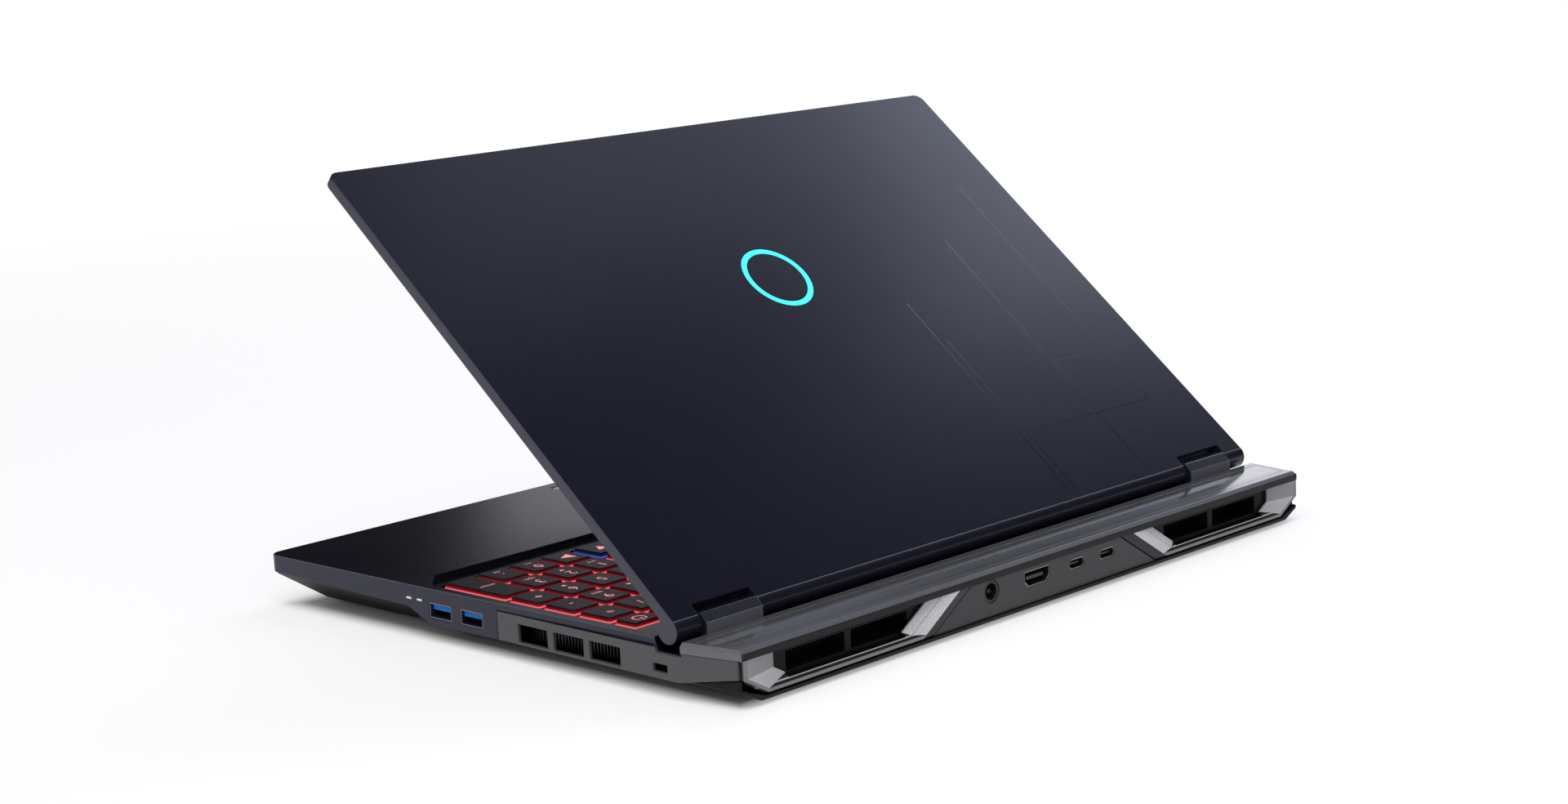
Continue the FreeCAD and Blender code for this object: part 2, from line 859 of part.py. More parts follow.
def hinge_lid_bracket():
    notch_x = knuckle_inner_x - notch_side_gap
    arm_x1 = notch_x - chin_wall - joint_gap
    arm_x0 = arm_x1 - lid_arm_length
    pin = rod_x(hinge_y, hinge_z, hinge_pin_radius, arm_x0, bracket_centre() + bracket_leg_width / 2)
    arm = box(arm_x0, arm_x1, roll_y - hinge_pin_radius, roll_y + lid_arm_reach, hinge_z, lid_inner_z)
    plate = box(arm_x1 - lid_plate_length, arm_x1, chin_y + chin_wall, roll_y + lid_arm_reach,
                lid_inner_z - lid_plate_thickness, lid_inner_z)
    return joined([pin, arm, plate])


# Lid
def lid_profile():
    low = (roll_y, hinge_z - roll_radius)
    high = (roll_y, closed_top_z)
    points = [(lid_front_y, closed_top_z), high, low, (chin_y, bezel_z), (chin_y, bezel_top_z),
              (lid_front_y, bezel_top_z)]
    return points


def lid_solid():
    body = prism_x(lid_profile(), -lid_half, lid_half)
    roll = rod_x(roll_y, hinge_z, roll_radius, -lid_half, lid_half)
    solid = joined([body, roll])
    outline = rounded_box(-lid_half, lid_half, lid_front_y, hinge_y + roll_radius + lid_corner,
                          0, closed_top_z, lid_corner)
    return solid.common(outline)


def chin_cavity():
    x1 = knuckle_inner_x - notch_side_gap - chin_wall
    x0 = x1 - lid_plate_length - 2 * joint_gap
    hollow = rod_x(roll_y, hinge_z, roll_radius - lid_wall, x0, x1)
    pocket = box(x0, x1, chin_y + chin_wall - joint_gap, roll_y + lid_arm_reach + joint_gap,
                 hinge_z, lid_inner_z)
    bore = rod_x(hinge_y, hinge_z, hinge_bore_radius, x0, knuckle_inner_x)
    return joined([hollow, pocket, bore])


def lid_notch():
    return box(knuckle_inner_x - notch_side_gap, knuckle_inner_x + knuckle_length + notch_side_gap,
               chin_y, rear_y, 0, closed_top_z)


def ring_y():
    return lid_front_y + ring_lead - ring_radius


def ring_solid(gap, z0, z1):
    outer = rod_z(0, ring_y(), ring_radius + gap, z0, z1)
    return outer.cut(rod_z(0, ring_y(), ring_radius - ring_width - gap, z0, z1))


def lid_back_cover():
    cavity = box(-lid_half + wall, lid_half - wall, lid_front_y + wall, chin_y - chin_wall,
                 bezel_top_z, lid_inner_z)
    cuts = [cavity, ring_solid(0, closed_top_z - ring_depth, closed_top_z)]
    cuts += pair(chin_cavity()) + pair(lid_notch())
    return lid_solid().cut(Part.makeCompound(cuts))


def display_edges():
    half = lid_half - wall - display_side_gap
    y0 = lid_front_y + wall + display_top_gap
    y1 = chin_y - display_chin
    return -half, half, y0, y1


def camera_edges():
    y0 = lid_front_y + wall + joint_gap
    return -camera_length / 2, camera_length / 2, y0, y0 + camera_depth


def screen_bezel():
    frame = rounded_box(-lid_half + bezel_inset, lid_half - bezel_inset, lid_front_y + bezel_inset,
                        chin_y - joint_gap, bezel_z, bezel_top_z, lid_corner - bezel_inset)
    x0, x1, y0, y1 = display_edges()
    b = display_border
    window = box(x0 + b, x1 - b, y0 + b, y1 - b, bezel_z, bezel_top_z)
    cx0, cx1, cy0, cy1 = camera_edges()
    lens = rod_z(0, (cy0 + cy1) / 2, camera_lens_radius, bezel_z, bezel_top_z)
    return frame.cut(Part.makeCompound([window, lens]))


def display_panel():
    x0, x1, y0, y1 = display_edges()
    return box(x0, x1, y0, y1, bezel_top_z, bezel_top_z + display_thickness)


def camera_module():
    x0, x1, y0, y1 = camera_edges()
    board = box(x0, x1, y0, y1, bezel_top_z, bezel_top_z + camera_height)
    lens = rod_z(0, (y0 + y1) / 2, camera_lens_radius - joint_gap, bezel_top_z - camera_lens_height,
                 bezel_top_z)
    return joined([board, lens])


def lid_bumpers():
    y = lid_front_y + bezel_inset + bumper_front_inset
    x = lid_half - bezel_inset - bumper_side_inset
    return pair(rod_z(x, y, bumper_radius, bezel_z - bumper_height, bezel_z))


# Keyboard
def key_rows():
    plain = [1.0] * main_columns
    return [
        ("bottom", [1.25, 1, 1, 1.25, 5.5, 1, 1, 1, 1, 1]),
        ("shift", [2.25] + plain[:10] + [1.75, 1]),
        ("home", [1.75] + plain[:11] + [2.25]),
        ("tab", [1.5] + plain[:12] + [1.5]),
        ("number", plain[:13] + [2]),
        ("function", plain),
    ]


def row_span(row):
    y0 = keys_front_y + row * row_pitch
    depth = function_pitch if row == main_rows else row_pitch
    return y0, y0 + depth


def key_stem(x, y):
    top = deck_z - key_drop - key_height
    bottom = backlight_top_z() - stem_engagement
    return rod_z(x, y, stem_radius, bottom, top)


def key_cap(x0, x1, y0, y1):
    half = key_gap / 2
    top = deck_z - key_drop
    bottom = top - key_height
    x0, x1, y0, y1 = x0 + half, x1 - half, y0 + half, y1 - half
    t = key_taper
    lower = rounded_wire(x0, x1, y0, y1, bottom, key_corner)
    upper = rounded_wire(x0 + t, x1 - t, y0 + t, y1 - t, top, key_corner)
    cap = Part.makeLoft([lower, upper], True, True)
    return cap.fuse(key_stem((x0 + x1) / 2, (y0 + y1) / 2)).removeSplitter()


def main_cells():
    cells = {}
    for row, (name, widths) in enumerate(key_rows()):
        x = keys_left
        y0, y1 = row_span(row)
        cells[name] = []
        for width in widths:
            cells[name].append((x, x + width * key_pitch, y0, y1))
            x += width * key_pitch
    return cells


def pad_cell(column, row, rows=1):
    x0 = pad_left + column * pad_pitch
    return x0, x0 + pad_pitch, row_span(row)[0], row_span(row + rows - 1)[1]


def single_key_cells():
    cells = {
        "key_right_arrow": pad_cell(0, 0),
        "key_pad_0": pad_cell(1, 0),
        "key_pad_point": pad_cell(2, 0),
        "key_pad_enter": pad_cell(3, 0, 2),
        "key_pad_2": pad_cell(1, 1),
        "key_pad_3": pad_cell(2, 1),
        "key_pad_5": pad_cell(1, 2),
        "key_pad_6": pad_cell(2, 2),
        "key_pad_plus": pad_cell(3, 2),
        "key_pad_9": pad_cell(2, 3),
        "key_pad_minus": pad_cell(3, 3),
        "key_pad_times": pad_cell(3, 4),
        "key_power": pad_cell(3, 5),
        "key_space": main_cells()["bottom"][4],
    }
    return cells


def key_groups():
    taken = list(single_key_cells().values())
    groups = {name: list(cells) for name, cells in main_cells().items()}
    for row, name in enumerate(groups):
        groups[name] += [pad_cell(column, row) for column in range(pad_columns)]
    groups["shift"].remove(pad_cell(3, 1))
    groups["bottom"].remove(pad_cell(3, 0))
    return {"keys_" + name + "_row": [cell for cell in cells if cell not in taken]
            for name, cells in groups.items()}


def all_key_cells():
    grouped = [cell for cells in key_groups().values() for cell in cells]
    return grouped + list(single_key_cells().values())


def backlight_top_z():
    return deck_z - key_drop - key_height - key_travel - stem_engagement


def keyboard_bed(margin):
    m = key_opening_margin + margin
    return keys_left - m, -keys_left + m, keys_front_y - m, keys_rear_y + m


def stem_holes(z0, z1):
    radius = stem_radius + stem_clearance
    holes = [rod_z((x0 + x1) / 2, (y0 + y1) / 2, radius, z0, z1) for x0, x1, y0, y1 in all_key_cells()]
    return Part.makeCompound(holes)


def keyboard_plate():
    x0, x1, y0, y1 = keyboard_bed(wall)
    top = backlight_top_z() - keyboard_sheet
    bottom = top - keyboard_sheet
    rim = box(x0, x1, y0, y1, bottom, well_under_z)
    ix0, ix1, iy0, iy1 = keyboard_bed(0)
    rim = rim.cut(box(ix0, ix1, iy0, iy1, top, well_under_z))
    return rim.cut(stem_holes(bottom, top))


def keyboard_backlight():
    x0, x1, y0, y1 = keyboard_bed(0)
    top = backlight_top_z()
    bottom = top - keyboard_sheet
    return box(x0, x1, y0, y1, bottom, top).cut(stem_holes(bottom, top))


def touchpad():
    x0, x1, y0, y1 = touchpad_edges(0)
    top = deck_z - touchpad_drop
    return rounded_box(x0, x1, y0, y1, top - touchpad_glass, top, key_corner)


# Boards, cooling and modules
def board_front_y():
    return well_front_y + keys_front_gap + board_wing_gap


def motherboard():
    wing = box(-base_half + board_side_gap, base_half - board_side_gap, board_front_y(),
               board_front_y() + board_wing_depth, board_z, board_top_z)
    body = box(-board_half, board_half, board_front_y(), rear_y - vent_frame_depth - board_frame_gap,
               board_z, board_top_z)
    tongue_half = panel_top_half - board_tongue_gap
    tongue = box(-tongue_half, tongue_half, board_front_y(), rear_y - board_rear_gap, board_z, board_top_z)
    holes = [rod_z(x, y, boss_radius + boss_gap, board_z, board_top_z) for x, y in screw_places()]
    return joined([wing, body, tongue]).cut(Part.makeCompound(holes))


def package_y():
    return board_front_y() + board_wing_depth + package_side / 2


def processors():
    half = package_side / 2
    return pair(box(package_x - half, package_x + half, package_y() - half, package_y() + half,
                    board_top_z, board_top_z + package_height))


def pipe_ys():
    last = trough_front_y + rear_fin_depth - pipe_width
    return [last - i * pipe_pitch for i in range(pipe_count)]


def heat_pipes():
    z0 = board_top_z + package_height
    z1 = z0 + cold_plate_height
    half = package_side / 2 + cold_plate_margin
    pieces = pair(box(package_x - half, package_x + half, package_y() - half, package_y() + half, z0, z1))
    reach = bracket_centre() - bracket_length / 2 - module_gap
    for y in pipe_ys():
        pieces.append(box(-reach, reach, y, y + pipe_width, z1, z1 + pipe_height))
    for x in (package_x - pipe_pitch, package_x + pipe_pitch - pipe_width):
        pieces += pair(box(x, x + pipe_width, package_y() - half, pipe_ys()[0], z1, z1 + pipe_height))
    return joined(pieces)


def comb_points(length):
    count = int((length - fin_thickness) // fin_pitch)
    points = [(0, 0)]
    for i in range(count):
        start = i * fin_pitch
        points += [(start + fin_thickness, 0), (start + fin_thickness, 1), (start + fin_pitch, 1),
                   (start + fin_pitch, 0)]
    last = count * fin_pitch + fin_thickness
    return points + [(last, 0), (last, 2), (0, 2)]


def comb(length, z0, height):
    levels = [z0, z0 + height - fin_spine, z0 + height]
    return [(along, levels[level]) for along, level in comb_points(length)]


def rear_fin_stack():
    x, y = fan_centre()
    points = [(x - fan_side / 2 + along, z) for along, z in comb(fan_side, floor_z, fin_height)]
    return prism_y(points, trough_front_y, trough_front_y + rear_fin_depth)


def side_fin_stack():
    x, y = fan_centre()
    start = seam_y + first_window_lead
    length = (window_count - 1) * window_pitch + window_length
    points = [(start + along, z) for along, z in comb(length, side_fin_z, side_fin_height)]
    return prism_x(points, x + fan_side / 2, x + fan_side / 2 + side_fin_depth)


def fin_stacks():
    return pair(rear_fin_stack()) + pair(side_fin_stack())


def fan_housing():
    x, y = fan_centre()
    half = fan_side / 2
    z0 = floor_z
    z1 = z0 + fan_height
    inner = half - fan_wall
    body = box(x - half, x + half, y - half, y + half, z0, z1)
    chamber = rod_z(x, y, inner, z0 + fan_wall, z1 - fan_wall)
    rear_duct = box(x - inner, x + inner, y, y + half, z0 + fan_wall, z1 - fan_wall)
    side_duct = box(x, x + half, y - inner, y + inner, z0 + fan_wall, z1 - fan_wall)
    intakes = rod_z(x, y, fan_intake_radius, z1 - fan_wall, z1)
    lower = rod_z(x, y, fan_intake_radius, z0, z0 + fan_wall)
    lower = lower.cut(rod_z(x, y, fan_hub_radius, z0, z0 + fan_wall))
    reach = fan_intake_radius
    spider = [box(x - reach, x + reach, y - fan_wall, y + fan_wall, z0, z0 + fan_wall),
              box(x - fan_wall, x + fan_wall, y - reach, y + reach, z0, z0 + fan_wall)]
    shell = body.cut(Part.makeCompound([chamber, rear_duct, side_duct, intakes, lower]))
    pin = rod_z(x, y, fan_pin_radius, z0 + fan_wall, z1 - fan_wall)
    return joined([shell, pin] + spider)


def fan_rotor():
    x, y = fan_centre()
    z0 = floor_z + fan_wall + fan_floor_gap
    z1 = floor_z + fan_height - fan_wall - fan_rotor_gap
    points = []
    for blade in range(fan_blades):
        start = 2 * math.pi * blade / fan_blades
        sweep = math.radians(fan_blade_sweep)
        root = fan_blade_thickness / fan_hub_radius / 2
        tip = fan_blade_thickness / fan_rotor_radius / 2
        for radius, angle in ((fan_hub_radius, start - root), (fan_rotor_radius, start + sweep - tip),
                              (fan_rotor_radius, start + sweep + tip), (fan_hub_radius, start + root)):
            points.append((x + radius * math.cos(angle), y + radius * math.sin(angle)))
    wheel = prism_z(points, z0, z1)
    return wheel.cut(rod_z(x, y, fan_pin_radius + fan_pin_clearance, z0, z1))


# The speakers sit beside the sloped sides of the casing, and the battery fills the room between them.
def speaker_edges():
    floor_half = base_half - cover_inset - slope_wall - front_slope_run
    x1 = floor_half - speaker_side_gap
    y0 = front_y + battery_front
    return x1 - speaker_width, x1, y0, y0 + speaker_depth


def battery_half():
    return speaker_edges()[0] - speaker_gap


def battery_pack():
    y0 = front_y + battery_front
    half = battery_half()
    return rounded_box(-half, half, y0, y0 + battery_depth, floor_z, floor_z + battery_height, key_corner)


def speakers():
    x0, x1, y0, y1 = speaker_edges()
    return pair(rounded_box(x0, x1, y0, y1, floor_z, floor_z + speaker_height, key_corner))


def memory_modules():
    y0 = package_y() + package_side / 2 - memory_depth
    modules = []
    for i in range(memory_count):
        y = y0 + i * (memory_depth + module_gap)
        modules.append(box(-memory_width / 2, memory_width / 2, y, y + memory_depth,
                           board_z - memory_height, board_z))
    return modules


def storage_drives():
    y0 = board_front_y() + module_gap
    x0 = memory_width / 2 + module_gap
    return pair(box(x0, x0 + drive_width, y0, y0 + drive_length, board_z - drive_height, board_z))


def wireless_card():
    y0 = board_front_y() + module_gap
    return box(-card_width / 2, card_width / 2, y0, y0 + card_length, board_z - card_height, board_z)


# Ports
def usb_a_port(y):
    x1 = base_half - port_setback
    x0 = x1 - usb_a_depth
    half_w = usb_a_width / 2
    half_h = usb_a_height / 2
    z = usb_a_z()
    s = shell_wall
    shell = box(x0, x1, y - half_w - s, y + half_w + s, z - half_h - s, z + half_h + s)
    shell = shell.cut(box(x0 + s, x1, y - half_w, y + half_w, z - half_h, z + half_h))
    top = z + half_h - usb_a_tongue_gap
    tongue = box(x0 + s, x1 - tongue_setback, y - half_w + usb_a_tongue_gap, y + half_w - usb_a_tongue_gap,
                 top - usb_a_tongue, top)
    return joined([shell, tongue])


def usb_a_ports():
    right = [usb_a_port(y) for y in usb_a_ys()]
    return right + [mirrored(right[0])]


def usb_c_solid(index, margin, y0, y1):
    x = usb_c_first_x - index * usb_c_pitch
    half_w = usb_c_width / 2 + margin
    half_h = usb_c_height / 2 + margin
    core = box(x - half_w + half_h, x + half_w - half_h, y0, y1, rear_port_z - half_h, rear_port_z + half_h)
    ends = [rod_y(x + side * (half_w - half_h), rear_port_z, half_h, y0, y1) for side in (-1, 1)]
    return joined([core] + ends)


def rear_port_face():
    return port_panel_y - port_setback


def usb_c_port(index):
    y1 = rear_port_face()
    y0 = y1 - usb_c_depth
    x = usb_c_first_x - index * usb_c_pitch
    shell = usb_c_solid(index, shell_wall, y0, y1).cut(usb_c_solid(index, 0, y0 + shell_wall, y1))
    half = usb_c_width / 2 - usb_c_height / 2
    tongue = box(x - half, x + half, y0 + shell_wall, y1 - tongue_setback,
                 rear_port_z - usb_c_tongue / 2, rear_port_z + usb_c_tongue / 2)
    low = rear_port_z - usb_c_height / 2
    foot = box(x - half, x + half, y0, y0 + port_foot_depth, board_top_z, low)
    return joined([shell, tongue, foot])


def usb_c_ports():
    return [usb_c_port(i) for i in range(usb_c_count)]


def hdmi_solid(margin, y0, y1):
    half_w = hdmi_width / 2 + margin
    half_h = hdmi_height / 2 + margin
    c = hdmi_corner
    x = hdmi_x
    z = rear_port_z
    return prism_y([(x - half_w, z + half_h), (x + half_w, z + half_h), (x + half_w, z - half_h + c),
                    (x + half_w - c, z - half_h), (x - half_w + c, z - half_h), (x - half_w, z - half_h + c)],
                   y0, y1)


def hdmi_port():
    y1 = rear_port_face()
    y0 = y1 - hdmi_depth
    shell = hdmi_solid(shell_wall, y0, y1).cut(hdmi_solid(0, y0 + shell_wall, y1))
    half = hdmi_width / 2 - hdmi_corner
    tongue = box(hdmi_x - half, hdmi_x + half, y0 + shell_wall, y1 - tongue_setback,
                 rear_port_z - hdmi_tongue / 2, rear_port_z + hdmi_tongue / 2)
    low = rear_port_z - hdmi_height / 2
    foot = box(hdmi_x - half, hdmi_x + half, y0, y0 + port_foot_depth, board_top_z, low)
    return joined([shell, tongue, foot])


def power_jack():
    y1 = rear_port_face()
    y0 = y1 - jack_depth
    outer = jack_radius + jack_ring - joint_gap
    low = rear_port_z - outer
    sleeve = rod_y(jack_x, rear_port_z, outer, y0, y1)
    sleeve = sleeve.cut(rod_y(jack_x, rear_port_z, jack_radius, y0 + jack_ring, y1))
    sleeve = sleeve.cut(box(jack_x - outer, jack_x + outer, y0, rear_y - board_rear_gap, low, board_top_z))
    pin = rod_y(jack_x, rear_port_z, jack_pin_radius, y0, y1 - tongue_setback)
    return joined([sleeve, pin])


def audio_jack():
    y = usb_a_ys()[1]
    x0 = -base_half
    half = audio_body / 2
    z = audio_z()
    nose = rod_x(y, z, audio_ring - joint_gap, x0, x0 + wall + joint_gap)
    body = box(x0 + wall + joint_gap, x0 + audio_length, y - half, y + half, z - half, z + half)
    return joined([nose, body]).cut(rod_x(y, z, audio_radius, x0, x0 + audio_bore))


def status_lights():
    x1 = base_half
    return [box(x1 - light_depth, x1, y - light_length / 2, y + light_length / 2,
                light_z - light_height / 2, light_z + light_height / 2) for y in light_ys()]


# Feet and screws
def rubber_feet():
    near = front_y + front_foot_setback
    far = rear_y - rear_foot_setback
    half = rear_foot_length / 2
    front_x = half - front_foot_length
    feet = pair(rounded_box(front_x, half, near, near + foot_width, 0, foot_height, foot_corner))
    return feet + [rounded_box(-half, half, far, far + foot_width, 0, foot_height, foot_corner)]


def screw_cross(x, y):
    half = screw_cross_length / 2
    thin = screw_cross_width / 2
    top = foot_height + screw_cross_depth
    return joined([box(x - half, x + half, y - thin, y + thin, foot_height, top),
                   box(x - thin, x + thin, y - half, y + half, foot_height, top)])


def bottom_screw(x, y):
    head_top = foot_height + screw_head_height
    head = rod_z(x, y, screw_head_radius, foot_height, head_top).cut(screw_cross(x, y))
    return joined([head, rod_z(x, y, screw_radius, head_top, floor_z + screw_length)])


def bottom_screws():
    return [bottom_screw(x, y) for x, y in screw_places()]


def save_base():
    save("bottom_cover", bottom_cover())
    save("top_case", top_case())
    save("side_panels", side_panels())
    save("tail_cap", tail_cap())
    save("tail_plate", tail_plate())
    save("rear_port_panel", port_panel())
    save("vent_frames", pair(vent_frame()))
    save("vent_trims", vent_trims())
    save("hinge_covers", pair(hinge_cover()))
    save("hinge_base_brackets", pair(hinge_base_bracket()))
    save("rubber_feet", rubber_feet())
    save("bottom_screws", bottom_screws())


def save_inside():
    save("keyboard_plate", keyboard_plate())
    save("keyboard_backlight", keyboard_backlight())
    save("motherboard", motherboard())
    save("processors", processors())
    save("heat_pipes", heat_pipes())
    save("fin_stacks", fin_stacks())
    save("fan_housings", pair(fan_housing()))
    save("fan_rotor_right", fan_rotor())
    save("fan_rotor_left", mirrored(fan_rotor()))
    save("battery_pack", battery_pack())
    save("speakers", speakers())
    save("memory_modules", memory_modules())
    save("storage_drives", storage_drives())
    save("wireless_card", wireless_card())


def save_ports():
    save("usb_a_ports", usb_a_ports())
    save("usb_c_ports", usb_c_ports())
    save("hdmi_port", hdmi_port())
    save("power_jack", power_jack())
    save("audio_jack", audio_jack())
    save("status_lights", status_lights())


def save_lid():
    save("lid_back_cover", lid_pieces([lid_back_cover()]))
    save("screen_bezel", lid_pieces([screen_bezel()]))
    save("display_panel", lid_pieces([display_panel()]))
    save("camera_module", lid_pieces([camera_module()]))
    save("lid_bumpers", lid_pieces(lid_bumpers()))
    save("lid_light_ring", lid_pieces([ring_solid(0, closed_top_z - ring_depth, closed_top_z)]))
    save("hinge_lid_brackets", lid_pieces(pair(hinge_lid_bracket())))


def save_keys():
    for name, cell in single_key_cells().items():
        save(name, key_cap(*cell))
    for name, cells in key_groups().items():
        save(name, [key_cap(*cell) for cell in cells])
    save("touchpad", touchpad())


os.makedirs("parts", exist_ok=True)
save_base()
save_inside()
save_ports()
save_lid()
save_keys()
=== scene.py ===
"""Finishes and fine shapes for a laptop with a hinged lid and a lit keyboard."""

import json
import math

import bpy
from mathutils import Matrix, Vector


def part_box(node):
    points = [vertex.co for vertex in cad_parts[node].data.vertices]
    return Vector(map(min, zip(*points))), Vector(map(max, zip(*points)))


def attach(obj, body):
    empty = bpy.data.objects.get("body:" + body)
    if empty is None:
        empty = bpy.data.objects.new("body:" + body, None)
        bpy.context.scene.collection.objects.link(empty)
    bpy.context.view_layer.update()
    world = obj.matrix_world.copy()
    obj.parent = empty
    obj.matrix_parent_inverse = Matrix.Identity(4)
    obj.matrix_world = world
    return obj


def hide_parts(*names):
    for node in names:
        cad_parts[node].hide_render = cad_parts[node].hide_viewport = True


bl_info = {
    "name": "Laptop finishes",
    "version": (1, 0, 0),
    "blender": (4, 5, 0),
    "location": "3D View > Sidebar > Laptop",
    "description": "Fine shapes and procedural finishes for a laptop with a lit keyboard",
    "category": "Object",
}

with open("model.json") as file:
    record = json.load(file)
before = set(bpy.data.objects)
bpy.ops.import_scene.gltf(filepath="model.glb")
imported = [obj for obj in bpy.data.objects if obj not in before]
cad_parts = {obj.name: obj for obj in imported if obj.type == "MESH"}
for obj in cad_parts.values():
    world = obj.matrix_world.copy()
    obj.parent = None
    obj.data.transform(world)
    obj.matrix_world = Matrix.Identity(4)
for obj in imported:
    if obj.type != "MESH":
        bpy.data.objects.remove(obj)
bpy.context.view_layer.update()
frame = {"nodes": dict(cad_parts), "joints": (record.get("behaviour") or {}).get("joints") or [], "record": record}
MM = 0.001

# Places of the lid and of the keyboard, read from the frame
lid_hinge = next(joint for joint in frame["joints"] if joint["name"] == "lid_hinge")
hinge_y, hinge_z = lid_hinge["pos_m"][1:]
lid_turn = math.radians(-lid_hinge["range_deg"][0])
body_of = {node: body for body, nodes in frame["record"]["behaviour"]["bodies"].items() for node in nodes}
key_nodes = [node for node in frame["nodes"] if node.startswith("key_")]
row_nodes = [node for node in frame["nodes"] if node.startswith("keys_")]
key_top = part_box("key_space")[1].z
key_height = 2.9 * MM
deck_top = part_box("top_case")[1].z
rear_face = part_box("vent_frames")[1].y
key_pitch = 19.0 * MM

# How the copies of the solids are merged and rounded
merge_distance = 0.002 * MM
flat_angle = math.radians(0.8)
edge_angle = math.radians(36)
port_edge = 0.06 * MM
silver_edge = 0.10 * MM
level_tolerance = 0.05 * MM

# Marks on the smoked plate: lines along its rear edge and its ends, and a row of dashes on each half
plate_line = 0.30 * MM
plate_rows = (1.4 * MM, 2.4 * MM)
plate_end = 9.0 * MM
dash_start = 60.0 * MM
dash_step = 1.6 * MM
dash_length = 1.0 * MM
dash_width = 1.2 * MM
dash_row = 9.6 * MM

# Places where the finish changes on the tail, the vents, their trims and the ports. The crease of the
# trims runs where the place across plus the height times the slope is trim_crease.
tail_bevel_depth = 1.6 * MM
rim_depth = 0.1 * MM
# Depth past which the faces inside the vents get near-black painted shade
duct_shade_depth = 1.7 * MM
# Where the painted highlight line runs along the lip of the vents
lip_highlight_depths = (1.0 * MM, 1.5 * MM)
lip_highlight_heights = (6.4 * MM, 7.2 * MM)
trim_slope = 1.588
trim_crease = 93.7 * MM
# Width of the painted shade line along the crease
crease_shade_width = 0.35 * MM
corner_start = 150.0 * MM
corner_wall_height = 12.5 * MM
usb_a_tongue = (3.1 * MM, 0.9 * MM)
usb_a_lip = 0.5 * MM
tongue_drop = {"usb_c_ports": 2.0 * MM, "hdmi_port": 3.7 * MM}
tongue_half = 0.9 * MM
rear_port_lip = 0.6 * MM

# Plain colours that no setting changes
white = (1.0, 1.0, 1.0)
black = (0.0, 0.0, 0.0)
black_plastic = (0.012, 0.012, 0.013)
cool_white = (0.75, 0.82, 1.0)

# How far under the part the floor shows its full shadow, and how white it is seen beside the part
shadow_inset = 10.0 * MM
shadow_fade = 12.0 * MM
floor_reach = 1.6
floor_white = 0.6

# Upper end of the lid's roll, and the printed lines on the lid: how far up or across each lies, and
# where it starts and ends
lid_roll = 1.55 * MM
lid_rows = [(72.0 * MM, -178.0 * MM, -112.0 * MM), (40.0 * MM, -150.0 * MM, -62.5 * MM)]
lid_columns = [(-58.0 * MM, 4.0 * MM, 120.0 * MM), (-62.5 * MM, 4.0 * MM, 96.0 * MM),
               (-112.0 * MM, 4.0 * MM, 150.0 * MM), (-150.0 * MM, 40.0 * MM, 180.0 * MM)]

# Legends of the keys that move in rows, from left to right
row_legends = {
    "keys_bottom_row": ["ctrl", "fn", "□", "alt", "alt", "≡", "ctrl", "◀", "▼"],
    "keys_shift_row": ["⇧", *"ZXCVBNM,./", "⇧", "▲", "1 end"],
    "keys_home_row": ["caps", *"ASDFGHJKL;'", "enter", "4 ◀"],
    "keys_tab_row": ["tab", *"QWERTYUIOP[]", "\\", "7 home", "8 ▲"],
    "keys_number_row": [*"`1234567890-=", "⌫", "num", "=", "/"],
    "keys_function_row": ["esc", *["F%d" % number for number in range(1, 13)],
                          "prt", "del", "home", "end", "ins"],
}
single_legends = {
    "key_right_arrow": "▶",
    "key_pad_0": "0 ins",
    "key_pad_point": ". del",
    "key_pad_enter": "enter",
    "key_pad_2": "2 ▼",
    "key_pad_3": "3 pgdn",
    "key_pad_5": "5",
    "key_pad_6": "6 ▶",
    "key_pad_plus": "+",
    "key_pad_9": "9 pgup",
    "key_pad_minus": "-",
    "key_pad_times": "*",
    "key_power": "⏻",
}


